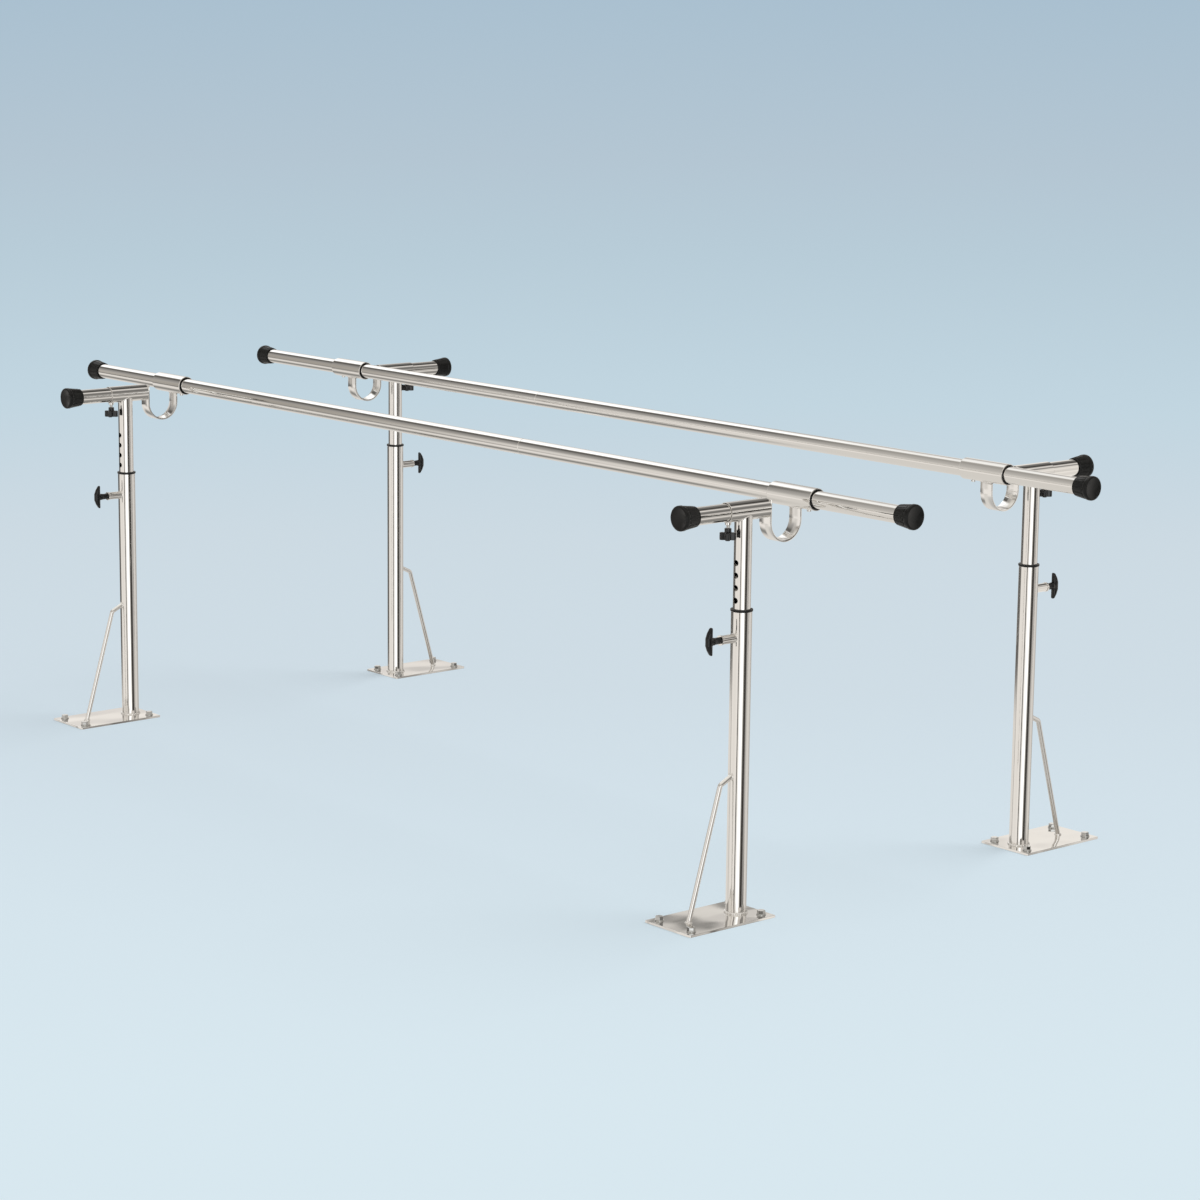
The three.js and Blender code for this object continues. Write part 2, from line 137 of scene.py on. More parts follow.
post_low, post_high = own_box("post_tube")
bush_low, bush_high = own_box("post_bush")
mast_low, mast_high = own_box("mast")
slide_low, slide_high = own_box("slide_tube")
hanger_low, hanger_high = own_box("rail_hanger")
liner_low, liner_high = own_box("rail_liner")
handle_low, handle_high = own_box("plunger_handle")
plate_low, plate_high = own_box("base_plate")
spring_low, spring_high = own_box("plunger_spring")
housing_end = own_box("plunger_housing")[1].y
lobe_low = own_box("clamp_knob")[0].z
cap_mouth = own_box("slide_cap")[0].y

sleeve_radius = mast_high.x
arm_height = mast_high.z - sleeve_radius
plunger_height = (handle_low.z + handle_high.z) / 2
rail_height = (liner_low.z + liner_high.z) / 2
rail_reach = (liner_low.y + liner_high.y) / 2
print("arm", round(arm_height, 4), "rail", round(rail_height, 4), "plunger", round(plunger_height, 4))

# %% [markdown]
# ## Studio
# Polished steel has almost no colour of its own: what it shows is the room around it. The real
# bars were photographed in a cream studio with a few dark flags, and were then set on a pale blue
# ground. The world below gives each kind of ray its own answer. Camera rays see the pale ground,
# glossy rays see the cream room, and the rays that light the dull surfaces see an even white, so
# that a colour renders about as it is written.

# %% Colours as they look on the screen
SRGB_TOE = 0.04045
SRGB_TOE_SLOPE = 12.92
SRGB_LIFT = 0.055
SRGB_POWER = 2.4
STEEL_TINT = (0.82, 0.805, 0.78)
ROOM_STRENGTH = 1.5


def seen(red, green, blue):
    """A colour given in screen values from 0 to 255, as the linear value that a shader takes."""
    shares = [value / 255 for value in (red, green, blue)]
    return [
        share / SRGB_TOE_SLOPE if share <= SRGB_TOE
        else ((share + SRGB_LIFT) / (1 + SRGB_LIFT)) ** SRGB_POWER
        for share in shares
    ] + [1.0]


def room(red, green, blue, boost=1.0):
    """The room colour that the polished steel turns into the given screen colour."""
    pairs = zip(seen(red, green, blue), STEEL_TINT)
    return [boost * value / tint / ROOM_STRENGTH for value, tint in pairs] + [1.0]


# %% Helpers for node trees
MIX_FIRST, MIX_SECOND, MIX_RESULT = 6, 7, 2      # the colour sockets of a Mix node


def node(tree, kind, inputs=(), **settings):
    """Add a node with its settings. Each input is linked to a socket or given a value."""
    made = tree.nodes.new(kind)
    for name, value in settings.items():
        setattr(made, name, value)
    for name, value in dict(inputs).items():
        if isinstance(value, bpy.types.NodeSocket):
            tree.links.new(value, made.inputs[name])
        else:
            made.inputs[name].default_value = value
    return made


def ramp(tree, stops, factor, paint):
    """A colour ramp. A stop is its position and the values that paint turns into a colour."""
    made = node(tree, "ShaderNodeValToRGB", {"Fac": factor})
    elements = made.color_ramp.elements
    while len(elements) < len(stops):
        elements.new(0.5)
    for element, stop in zip(elements, stops):
        element.position = stop[0]
    for element, stop in zip(elements, stops):
        element.color = paint(*stop[1:])
    return made.outputs["Color"]


def sums(tree, operation, *terms):
    """One step of arithmetic; each term is a socket or a plain number."""
    return node(tree, "ShaderNodeMath", enumerate(terms), operation=operation).outputs[0]


def share_of(tree, value, start, end, **settings):
    """0 at start and 1 at end, in a straight line unless the settings say otherwise."""
    limits = {"Value": value, "From Min": start, "From Max": end}
    return node(tree, "ShaderNodeMapRange", limits, **settings).outputs["Result"]


def eased(tree, value, start, end):
    """0 before start, 1 after end, with a smooth step between them."""
    return share_of(tree, value, start, end, interpolation_type="SMOOTHSTEP")


def mixed(tree, factor, first, second):
    """Mix two colours, each a socket or a list of four numbers."""
    inputs = {"Factor": factor, MIX_FIRST: first, MIX_SECOND: second}
    return node(tree, "ShaderNodeMix", inputs, data_type="RGBA").outputs[MIX_RESULT]


def blend(tree, factor, first, second):
    """Mix two shaders."""
    return node(tree, "ShaderNodeMixShader", {0: factor, 1: first, 2: second}).outputs[0]


# %% [markdown]
# ## The room that the steel reflects
# A tube keeps the part of a ray that runs along it and turns the rest. So all the tubes that lie
# one way reflect one ring of directions, and the room is described by three rings: one for the
# upright tubes, one for the rails and one for the tubes across them. Each ring is a colour ramp
# on its own angle, with the lamps, flags and walls that show in the photograph as streaks. The
# rings fade into each other and into the rest of the room, and a few patches on them stand for
# the small flags and cards that only one plate, hook or tube end reflects.

# %% Ring for the upright tubes, by compass direction in degrees, with screen colours
ROOM_ROUND = (
    (-180, 90, 87, 83), (-160, 94, 91, 87), (-152, 102, 99, 95), (-148, 112, 109, 105),
    (-144, 140, 136, 131), (-141, 190, 185, 178), (-138, 228, 222, 214), (-100, 222, 216, 208),
    (-71, 232, 226, 218), (-67, 78, 75, 71), (-61, 78, 75, 71), (-57, 228, 222, 214),
    (-43, 255, 253, 249), (-34, 255, 255, 252, 1.35), (-20, 255, 255, 252, 1.35),
    (-12, 205, 200, 192), (-5, 112, 109, 105), (2, 54, 51, 47), (16, 54, 51, 47),
    (20, 110, 107, 103), (27, 150, 146, 141), (36, 192, 187, 180), (50, 208, 203, 195),
    (70, 212, 206, 199), (88, 190, 185, 178), (110, 165, 161, 155), (130, 190, 185, 178),
    (143, 186, 181, 174), (152, 140, 136, 131), (162, 92, 89, 85), (180, 90, 87, 83),
)

# %% Ring for the rails, from below their far side up and over to the near side
ROOM_OVER = (
    (-180, 206, 201, 193), (-135, 210, 205, 197), (-108, 203, 198, 190), (-94, 176, 171, 165),
    (-84, 134, 131, 126), (-70, 130, 127, 122), (-60, 172, 168, 161), (-50, 214, 208, 201),
    (-38, 228, 222, 214), (-27, 212, 206, 199), (-15, 208, 203, 195), (-4, 212, 206, 199),
    (6, 208, 203, 195), (14, 192, 187, 180), (22, 168, 164, 158), (32, 153, 149, 144),
    (44, 142, 138, 133), (54, 124, 121, 116), (60, 98, 95, 91), (71, 86, 83, 79), (78, 100, 97, 93),
    (83, 190, 185, 178), (89, 255, 253, 249), (96, 255, 255, 252, 1.3), (120, 255, 253, 249),
    (140, 255, 253, 249), (148, 232, 226, 218), (156, 218, 212, 204), (163, 212, 206, 199),
    (169, 190, 185, 178), (175, 132, 129, 124), (180, 126, 123, 118),
)

# %% Ring for the tubes across the rails
ROOM_ACROSS = (
    (-180, 206, 201, 193), (-125, 206, 201, 193), (-111, 210, 205, 197), (-94, 172, 168, 161),
    (-79, 122, 119, 114), (-66, 134, 131, 126), (-54, 142, 138, 133), (-46, 172, 168, 161),
    (-38, 222, 216, 208), (-29, 206, 201, 193), (-22, 104, 101, 97), (-14, 96, 93, 89),
    (-4, 72, 69, 65), (5, 84, 81, 77), (15, 222, 216, 208), (23, 150, 146, 141), (33, 102, 99, 95),
    (44, 118, 115, 111), (54, 150, 146, 141), (65, 236, 230, 221), (75, 150, 146, 141),
    (87, 30, 27, 23), (99, 88, 85, 81), (115, 116, 113, 109), (132, 132, 129, 124),
    (144, 176, 171, 165), (152, 212, 206, 199), (161, 210, 205, 197), (167, 176, 171, 165),
    (173, 116, 113, 109), (180, 110, 107, 103),
)

# %% The rest of the room by height, and the ground that the camera sees
ROOM_HEIGHTS = (
    (0.00, 168, 165, 160), (0.20, 186, 182, 176), (0.34, 208, 203, 195), (0.52, 222, 216, 207),
    (0.62, 176, 169, 160), (0.76, 152, 145, 137), (0.90, 206, 200, 190), (1.00, 240, 236, 228),
)
GROUND_HEIGHTS = (
    (0.00, 217, 233, 242), (0.24, 212, 226, 235), (0.39, 207, 221, 230), (0.52, 203, 217, 227),
    (0.65, 194, 214, 225), (0.78, 184, 204, 216), (0.86, 180, 198, 211), (1.00, 170, 192, 208),
)
GROUND_STEEP = -0.36
DAYLIGHT = 0.62

# %% [markdown]
# ## Patches and borders of the rings
# A patch is a strength, a colour and the steps that bound it. A step names a direction and
# says where the patch starts and where it is full, so one with its start above its end counts
# downwards. The borders of the rings are written the same way.

# %% Patches and borders of the rings
RING_HEIGHT = -0.19      # the posts reflect directions about as low as this
ROUND_PATCHES = (
    # Paler low down and far to the left
    (1.0, (216, 210, 202), ("along", -0.78, -0.84), ("height", -0.203, -0.222)),
    # Paler where the rails are seen from their ends
    (1.0, (214, 208, 201), ("end_on", 0.88, 0.95), ("height", -0.14, -0.05)),
    # A narrow dark flag for the front edge of the near right hook
    (1.0, (36, 34, 31), ("across", 0.650, 0.665), ("across", 0.725, 0.71), ("along", 0.55, 0.60),
     ("height", -0.21, -0.19)),
)
OVER_PATCHES = (
    # Softer streaks, and no dark line below, for the right ends of the rails
    (0.5, (198, 193, 185), ("along", -0.725, -0.69)),
    (1.0, (208, 203, 195), ("along", -0.735, -0.705), ("height", -0.28, -0.40)),
    # Dimmer for the near side of the rails' left part
    (1.0, (158, 152, 143), ("along", -0.77, -0.81), ("toward", 0.46, 0.56)),
)
ACROSS_PATCHES = (
    # Paler for the far right sleeve and plate
    (0.8, (234, 228, 219), ("across", 0.69, 0.72), ("height", 0.50, 0.36)),
    # Darker for the outer end of the near right plate
    (1.0, (136, 133, 128), ("across", 0.668, 0.630), ("height", 0.18, 0.22),
     ("height", 0.40, 0.34)),
)
OFF_THE_RINGS = (("steepness", 0.32, 0.50),)
ON_RAILS = (("along", -0.90, -0.86), ("along", -0.56, -0.66), ("off_posts", 0.05, 0.10))
ON_SLEEVES = (("across", 0.44, 0.50), ("across", 0.82, 0.76), ("along", -0.76, -0.70),
              ("off_posts", 0.05, 0.10))


def where(tree, directions, steps):
    """A mask that is 1 where all the steps are full."""
    mask = 1.0
    for name, start, full in steps:
        mask = sums(tree, "MULTIPLY", mask, eased(tree, directions[name], start, full))
    return mask


def patched_ring(tree, directions, stops, rise, run, patches):
    """A ramp on the angle whose tangent is rise over run, with its patches laid on it."""
    angle = sums(tree, "ARCTAN2", directions[rise], directions[run])
    share = sums(tree, "ADD", sums(tree, "DIVIDE", angle, 2 * pi), 0.5)
    colour = ramp(tree, [((stop[0] + 180) / 360, *stop[1:]) for stop in stops], share, room)
    for strength, shade, *steps in patches:
        mask = sums(tree, "MULTIPLY", where(tree, directions, steps), strength)
        colour = mixed(tree, mask, colour, room(*shade))
    return colour


# %% World
def make_world():
    """One background for each kind of ray, told apart by the Light Path node."""
    world = bpy.data.worlds.new("studio")
    world.use_nodes = True
    world.cycles.sampling_method = "NONE"
    tree = world.node_tree
    tree.nodes.clear()
    way = node(tree, "ShaderNodeTexCoord").outputs["Generated"]
    along, across, height = node(tree, "ShaderNodeSeparateXYZ", {0: way}).outputs
    directions = {
        "along": along, "across": across, "height": height,
        "toward": sums(tree, "MULTIPLY", across, -1.0),
        "end_on": sums(tree, "ABSOLUTE", along),
        "steepness": sums(tree, "ABSOLUTE", height),
        "off_posts": sums(tree, "ABSOLUTE", sums(tree, "SUBTRACT", height, RING_HEIGHT)),
    }
    around = patched_ring(tree, directions, ROOM_ROUND, "across", "along", ROUND_PATCHES)
    over = patched_ring(tree, directions, ROOM_OVER, "height", "toward", OVER_PATCHES)
    beside = patched_ring(tree, directions, ROOM_ACROSS, "height", "along", ACROSS_PATCHES)
    rest = ramp(tree, ROOM_HEIGHTS, share_of(tree, height, -1.0, 1.0), room)
    studio = mixed(tree, where(tree, directions, OFF_THE_RINGS), around, rest)
    studio = mixed(tree, where(tree, directions, ON_RAILS), studio, over)
    studio = mixed(tree, where(tree, directions, ON_SLEEVES), studio, beside)
    ground = ramp(tree, GROUND_HEIGHTS, share_of(tree, height, GROUND_STEEP, 0.0), seen)

    path = node(tree, "ShaderNodeLightPath").outputs
    even, glossy, backdrop = (
        node(tree, "ShaderNodeBackground", inputs).outputs[0] for inputs in (
            {"Strength": DAYLIGHT}, {"Strength": ROOM_STRENGTH, "Color": studio}, {"Color": ground},
        )
    )
    lighting = blend(tree, path["Is Glossy Ray"], even, glossy)
    shown = blend(tree, path["Is Camera Ray"], lighting, backdrop)
    node(tree, "ShaderNodeOutputWorld", {"Surface": shown})
    bpy.context.scene.world = world


make_world()

# %% [markdown]
# ## Floor and lamp
# The floor is a wide pale disc that fades into the ground colour of the world, so that no
# horizon shows. Its colour is painted lighter at the front right and darker towards the back
# left, a painted falloff of light. Part of its colour glows and the rest is lit, which keeps
# the stands' shadows but makes them as light as a studio's. Glossy rays pass through it to the
# room, and so do the rays that come from below. One broad sun lamp stands for a soft box overhead.

# %% Floor and lamp
FLOOR_RADIUS = 26.0
FLOOR_SOLID = 3.0
FLOOR_FADED = 9.5
FLOOR_DROP = 0.2 * MM
# Floor colours from the front right to the back left: a painted falloff of light
FLOOR_FALLOFF_SHADES = (
    (0.00, 223, 239, 247), (0.20, 218, 233, 242), (0.34, 214, 228, 237), (0.60, 211, 225, 234),
    (1.00, 200, 219, 230),
)
FLOOR_SIDES = 96
FLOOR_AIM = Vector((-0.76, 0.65, 0))
FLOOR_NEAR = -2.4
FLOOR_FAR = 7.5
FLOOR_GLOW = 0.42
SUN_STRENGTH = 1.5
SUN_SPREAD = radians(38)
SUN_TILT = (radians(34), radians(12), radians(150))


def vector_sum(tree, operation, *terms):
    """A vector operation that gives one number."""
    return node(tree, "ShaderNodeVectorMath", enumerate(terms), operation=operation).outputs["Value"]


def make_floor():
    """A disc that fades outwards by its own coordinates, and that only dull rays rest on."""
    bm = bmesh.new()
    bmesh.ops.create_circle(bm, cap_ends=True, segments=FLOOR_SIDES, radius=FLOOR_RADIUS)
    bmesh.ops.translate(bm, verts=bm.verts, vec=(0, 0, -FLOOR_DROP))
    mesh = bpy.data.meshes.new("floor")
    bm.to_mesh(mesh)
    bm.free()
    material = bpy.data.materials.new("pale floor")
    material.use_nodes = True
    tree = material.node_tree
    tree.nodes.clear()
    place = node(tree, "ShaderNodeTexCoord").outputs["Object"]
    fade = eased(tree, vector_sum(tree, "LENGTH", place), FLOOR_SOLID, FLOOR_FADED)
    path = node(tree, "ShaderNodeLightPath").outputs
    underside = node(tree, "ShaderNodeNewGeometry").outputs["Backfacing"]
    missed = sums(tree, "MAXIMUM", path["Is Glossy Ray"], underside)
    faded = sums(tree, "MULTIPLY", fade, path["Is Camera Ray"])
    # Painted falloff of light: the floor colour darkens along FLOOR_AIM, away from the front right
    depth = vector_sum(tree, "DOT_PRODUCT", place, FLOOR_AIM)
    shade = ramp(tree, FLOOR_FALLOFF_SHADES, share_of(tree, depth, FLOOR_NEAR, FLOOR_FAR), seen)
    lit = node(tree, "ShaderNodeBsdfDiffuse", {"Color": shade}).outputs[0]
    glow = node(tree, "ShaderNodeEmission", {"Color": shade}).outputs[0]
    clear = node(tree, "ShaderNodeBsdfTransparent").outputs[0]
    surface = blend(tree, FLOOR_GLOW, lit, glow)
    shown = blend(tree, sums(tree, "MAXIMUM", missed, faded), surface, clear)
    node(tree, "ShaderNodeOutputMaterial", {"Surface": shown})
    mesh.materials.append(material)
    put("floor", mesh)


def make_sun():
    """A broad sun; the steel doesn't mirror it, because the room already shows the lamps."""
    lamp = bpy.data.lights.new("soft sun", "SUN")
    lamp.energy = SUN_STRENGTH
    lamp.angle = SUN_SPREAD
    sun = put("soft sun", lamp)
    sun.rotation_euler = SUN_TILT
    sun.visible_glossy = False


make_floor()
make_sun()
bpy.context.scene.view_settings.view_transform = "Standard"

# %% [markdown]
# ## Surface marks
# Polished metal and moulded rubber are never quite even. Two small node groups make the marks
# that most finishes share, so that each material only says how strong they are. The first one is
# for hand polish: long faint lines, and patches where the shine is a little duller. The second
# one is for moulded plastic and rubber: a fine grain, and a film of dust.

# %% Helpers for node groups
def new_group(name, inputs, outputs):
    """A node group with its sockets, each a name with its type, and what it is given."""
    group = bpy.data.node_groups.new(name, "ShaderNodeTree")
    for way, sockets in (("INPUT", inputs), ("OUTPUT", outputs)):
        for title, kind in sockets.items():
            group.interface.new_socket(title, in_out=way, socket_type=f"NodeSocket{kind}")
    return group, node(group, "NodeGroupInput").outputs


def numbers(*names):
    """Sockets for plain numbers."""
    return dict.fromkeys(names, "Float")


def noise(tree, vector, scale, detail, roughness=0.5):
    """A noise pattern from 0 to 1."""
    inputs = {"Vector": vector, "Scale": scale, "Detail": detail, "Roughness": roughness}
    return node(tree, "ShaderNodeTexNoise", inputs).outputs["Fac"]


# %% Node group for hand polish
PATCH_DETAIL, PATCH_ROUGHNESS = 4.0, 0.6
PATCH_START, PATCH_FULL = 0.38, 0.68
LINE_DETAIL = 2.0
SWELL_DETAIL = 0.0


def polish_group():
    """Outputs a roughness that drifts between two values, and a height for faint lines."""
    inputs = numbers("Clean", "Rubbed", "Patch Scale", "Line Scale", "Waves")
    group, given = new_group("hand polish", {"Vector": "Vector", **inputs},
                             numbers("Roughness", "Height"))
    place, patch_scale = given["Vector"], given["Patch Scale"]
    patches = noise(group, place, patch_scale, PATCH_DETAIL, PATCH_ROUGHNESS)
    drift = node(group, "ShaderNodeMapRange", {
        "Value": patches, "From Min": PATCH_START, "From Max": PATCH_FULL,
        "To Min": given["Clean"], "To Max": given["Rubbed"],
    }, interpolation_type="SMOOTHSTEP").outputs["Result"]
    lines = noise(group, place, given["Line Scale"], LINE_DETAIL)
    swells = noise(group, place, patch_scale, SWELL_DETAIL)
    height = sums(group, "ADD", sums(group, "MULTIPLY", swells, given["Waves"]), lines)
    node(group, "NodeGroupOutput", {"Roughness": drift, "Height": height})
    return group


# %% Node group for moulded surfaces
CLOUD_SCALE, CLOUD_DETAIL, CLOUD_ROUGHNESS = 55.0, 5.0, 0.65
FILM_START, FILM_FULL = 0.42, 0.72
GRAIN_DETAIL = 3.0


def moulding_group():
    """Outputs a colour with a dusty film, a roughness and a height for the grain."""
    colours = {"Color": "Color", "Dust Color": "Color"}
    inputs = {"Vector": "Vector", **colours, **numbers("Dust", "Smooth", "Dull", "Grain Scale")}
    group, given = new_group("moulded skin", inputs,
                             {"Color": "Color", **numbers("Roughness", "Height")})
    clouds = noise(group, given["Vector"], CLOUD_SCALE, CLOUD_DETAIL, CLOUD_ROUGHNESS)
    film = eased(group, clouds, FILM_START, FILM_FULL)
    dusty = sums(group, "MULTIPLY", film, given["Dust"])
    colour = mixed(group, dusty, given["Color"], given["Dust Color"])
    limits = {"Value": film, "To Min": given["Smooth"], "To Max": given["Dull"]}
    drift = node(group, "ShaderNodeMapRange", limits).outputs["Result"]
    grain = noise(group, given["Vector"], given["Grain Scale"], GRAIN_DETAIL)
    node(group, "NodeGroupOutput", {"Color": colour, "Roughness": drift, "Height": grain})
    return group


HAND_POLISH = polish_group()
MOULDED_SKIN = moulding_group()


def marked(name, group, marks, depth, distance=MM, stretch=(1, 1, 1)):
    """A material that takes its relief, roughness and any colour from a group, and its inputs."""
    material = bpy.data.materials.new(name)
    material.use_nodes = True
    tree = material.node_tree
    look = tree.nodes["Principled BSDF"].inputs
    place = node(tree, "ShaderNodeTexCoord").outputs["Object"]
    place = node(tree, "ShaderNodeMapping", {"Vector": place, "Scale": stretch}).outputs["Vector"]
    made = node(tree, "ShaderNodeGroup", {**marks, "Vector": place}, node_tree=group).outputs
    relief = {"Strength": depth, "Distance": distance, "Height": made["Height"]}
    bump = node(tree, "ShaderNodeBump", relief).outputs["Normal"]
    tree.links.new(made["Roughness"], look["Roughness"])
    tree.links.new(bump, look["Normal"])
    if "Color" in made:
        tree.links.new(made["Color"], look["Base Color"])
    return material, look


# %% [markdown]
# ## Steel finishes
# All of the steel is the same warm bright metal, and the finishes differ in how it was worked.
# The tubes are mirror bright, with polishing lines along them, so the pattern is stretched along
# the tube's own direction. The floor plates and the flat-bar hooks were polished by hand on
# flat stock, which blurs what they show, and the welds are rougher still. The anchor bolts get
# two tints: a pale one for their tops, and a darker one for their sides that is painted shade.

# %% Steel
DRAWN = 0.06


def steel(name, clean, rubbed, stretch=(1, 1, 1), tint=STEEL_TINT, patch=9.0, line=700.0,
          depth=0.02, waves=2.0):
    """A metal whose roughness and faint relief come from the hand polish group."""
    marks = {"Clean": clean, "Rubbed": rubbed, "Patch Scale": patch, "Line Scale": line,
             "Waves": waves}
    material, look = marked(name, HAND_POLISH, marks, depth, stretch=stretch)
    look["Base Color"].default_value = (*tint, 1.0)
    look["Metallic"].default_value = 1.0
    return material


# Roughness where clean and where rubbed, stretch of the marks, tint, their scales, depth
upright_steel = steel("mirror steel upright", 0.05, 0.10, (1, 1, DRAWN))
rail_steel = steel("mirror steel along", 0.045, 0.085, (DRAWN, 1, 1))
sleeve_steel = steel("mirror steel across", 0.02, 0.055, (1, DRAWN, 1))
plate_steel = steel("plate steel", 0.03, 0.09, (1, 0.6, 1), patch=13.0, line=300.0, depth=0.045,
                    waves=260.0)
strap_steel = steel("hook steel", 0.06, 0.12, (1, 0.15, 0.15), (0.86, 0.85, 0.83), 12.0, 900.0)
weld_steel = steel("weld steel", 0.08, 0.20, (1, 1, 1), (0.90, 0.885, 0.86), 160.0, 900.0, 0.12)
bolt_steel = steel("bolt steel", 0.02, 0.07, (1, 1, 1), (0.76, 0.76, 0.75), 120.0, 900.0)
# Painted shade: the bolts' sides get this darker copy of the bolt steel
shaded_bolt_side_steel = steel("painted shade bolt side steel", 0.03, 0.10, (1, 1, 1), (0.50, 0.50, 0.49), 120.0, 900.0)
wire_steel = steel("spring wire steel", 0.22, 0.36, (1, 1, 1), (0.58, 0.57, 0.56), 200.0)


# %% [markdown]
# ## Rubber and plastic finishes
# The caps are dull black rubber that has picked up a little dust, and the grips and knobs are
# glossier moulded plastic. Both are dark enough that the shine decides how they read, so the
# roughness varies more than the colour does.

# %% Rubber and plastic
DUST = 0.3
GRAIN_SCALE = 1400.0
GRAIN_HEIGHT = 0.3 * MM


def moulded(name, colour, dust_colour, smooth, dull, depth, specular):
    """A moulded finish from the moulded skin group."""
    marks = {"Color": (*colour, 1.0), "Dust Color": (*dust_colour, 1.0), "Dust": DUST,
             "Smooth": smooth, "Dull": dull, "Grain Scale": GRAIN_SCALE}
    material, look = marked(name, MOULDED_SKIN, marks, depth, GRAIN_HEIGHT)
    look["Specular IOR Level"].default_value = specular
    return material


# Colour, colour of the dust, roughness where smooth and where dull, depth, specular level
cap_rubber = moulded("cap rubber", (0.005, 0.005, 0.0047), (0.030, 0.030, 0.027), 0.30, 0.50,
                     0.16, 0.26)
grip_plastic = moulded("grip plastic", (0.005, 0.005, 0.0055), (0.02, 0.02, 0.02), 0.16, 0.30,
                       0.04, 0.42)
knob_plastic = moulded("knob plastic", (0.012, 0.012, 0.012), (0.05, 0.05, 0.05), 0.14, 0.32,
                       0.04, 0.5)
liner_plastic = moulded("liner plastic", (0.006, 0.006, 0.0065), (0.02, 0.02, 0.02), 0.34, 0.5,
                        0.1, 0.3)


# %% [markdown]
# ## Turning, softening and placing
# Nearly every piece of a tube frame is turned or swept. A lathe helper spins an outline once
# round Z, and rotations lay the result along the other axes. Real edges are never sharp, so
# each turned shape gets a small bevel. The bevel's own edges stay marked as sharp: if they were
# smoothed into the long flat sides of a tube, the mirror finish would bend along its whole length.

# %% Lathe and bevel
TUBE_STEPS = 96
SMALL_STEPS = 48
CREASE = radians(20)
CORNER = radians(28)
TUBE_LIP = 0.35 * MM
SEAM_REACH = 0.001 * MM


def bevelled(bm, geom, width, segments=2, affect="EDGES"):
    """Bevel the given edges or corners."""
    bmesh.ops.bevel(
        bm, geom=geom, offset=width, offset_type="OFFSET", segments=segments, profile=0.5,
        affect=affect, clamp_overlap=True, material=-1,
    )
    return bm


def soften(bm, width, segments=2, above=CORNER):
    """Bevel every edge that turns by more than the given angle."""
    edges = [e for e in bm.edges if e.is_manifold and e.calc_face_angle() > above]
    return bevelled(bm, edges, width, segments)


def spun(bm, geom, angle, steps, climb=0.0, centre=(0, 0, 0), axis=UP, merge=False):
    """Sweep edges round an axis, climbing at each step, and return what the last step made."""
    return bmesh.ops.spin(
        bm, geom=geom, cent=centre, axis=axis, dvec=(0, 0, climb), angle=angle, steps=steps,
        use_merge=merge,
    )["geom_last"]


def lathe(outline, steps=SMALL_STEPS):
    """Spin (radius, height) points round Z. The outline closes unless it starts on the axis."""
    bm = bmesh.new()
    points = [bm.verts.new((radius, 0, height)) for radius, height in outline]
    pairs = list(zip(points, points[1:]))
    if outline[0][0] > 0:
        pairs.append((points[-1], points[0]))
    edges = [bm.edges.new(pair) for pair in pairs]
    spun(bm, points + edges, 2 * pi, steps, merge=True)
    bmesh.ops.remove_doubles(bm, verts=bm.verts, dist=SEAM_REACH)
    bmesh.ops.recalc_face_normals(bm, faces=bm.faces)
    return bm


def rod(radius, low, high, steps=SMALL_STEPS):
    """A solid round bar with sharp rims."""
    return lathe([(0, low), (radius, low), (radius, high), (0, high)], steps)


def tube(bore, radius, low, high, lip=TUBE_LIP, steps=TUBE_STEPS):
    """A round tube with softened rims."""
    return soften(lathe([(bore, low), (radius, low), (radius, high), (bore, high)], steps), lip)


# %% Laying shapes along the other axes
ALONG_X = Matrix.Rotation(pi / 2, 4, "Y")
ALONG_Y = Matrix.Rotation(-pi / 2, 4, "X")


def moved(bm, *steps):
    """Apply moves to a whole bmesh, each a matrix or a shift, in the order given."""
    for step in steps:
        matrix = step if isinstance(step, Matrix) else Matrix.Translation(step)
        bmesh.ops.transform(bm, matrix=matrix, verts=bm.verts)
    return bm


def together(*parts):
    """Join several bmeshes into one that holds separate closed shells."""
    whole = bmesh.new()
    for part in parts:
        mesh = bpy.data.meshes.new("part")
        part.to_mesh(mesh)
        part.free()
        whole.from_mesh(mesh)
        bpy.data.meshes.remove(mesh)
    return whole


def finished(bm, name, crease=CREASE):
    """Shade a bmesh smooth, except at its creases, and turn it into a mesh."""
    for face in bm.faces:
        face.smooth = True
    for edge in bm.edges:
        edge.smooth = edge.is_manifold and edge.calc_face_angle() < crease
    mesh = bpy.data.meshes.new(name)
    bm.to_mesh(mesh)
    bm.free()
    return mesh


# %% Placing pieces
def add_piece(name, mesh, material, body, nodes, place):
    """Link one piece with its place in its mesh, attach it to its body, and hide the frame's parts
    that it stands for.
    """
    own = mesh.copy()
    own.name = name
    own.transform(place)
    own.materials.clear()
    own.materials.append(material)
    piece = put(name, own)
    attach(piece, body)
    if nodes:
        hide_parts(*nodes)
    return piece


def on_each_stand(name, shape, material, body, *nodes, slot="polished_steel", crease=CREASE):
    """Copy a bmesh or a finished mesh to the four stands. Nodes are named without their place."""
    mesh = finished(shape, name, crease) if isinstance(shape, bmesh.types.BMesh) else shape
    made = {}
    for place in PLACES:
        made[place] = add_piece(
            f"{name}_{place}", mesh, material,
            body if body == "stands" else f"{body}_{place}",
            [f"{node_name}_{place}" for node_name in nodes],
            stand_place(place),
        )
    print(name, len(mesh.polygons), "faces")
    return made


# %% [markdown]
# ## Post
# The outer post is a plain welded tube. It is turned in one piece, from the plate up to the guide
# bush, and its rims are only softened.

# %% Post
POST_RADIUS = 22.5 * MM
POST_WALL = 1.5 * MM
POST_LIP = 0.5 * MM
post_bore = POST_RADIUS - POST_WALL
post = tube(post_bore, POST_RADIUS, post_low.z, post_high.z, POST_LIP)
on_each_stand("outer_post", post, upright_steel, "stands", "post_tube")

# %% [markdown]
# ## Guide bush
# The black ring at the post's mouth is the flange of a plastic bush. Its long sleeve, which keeps
# the mast from rattling, is inside the post. One outline turned round Z gives both.

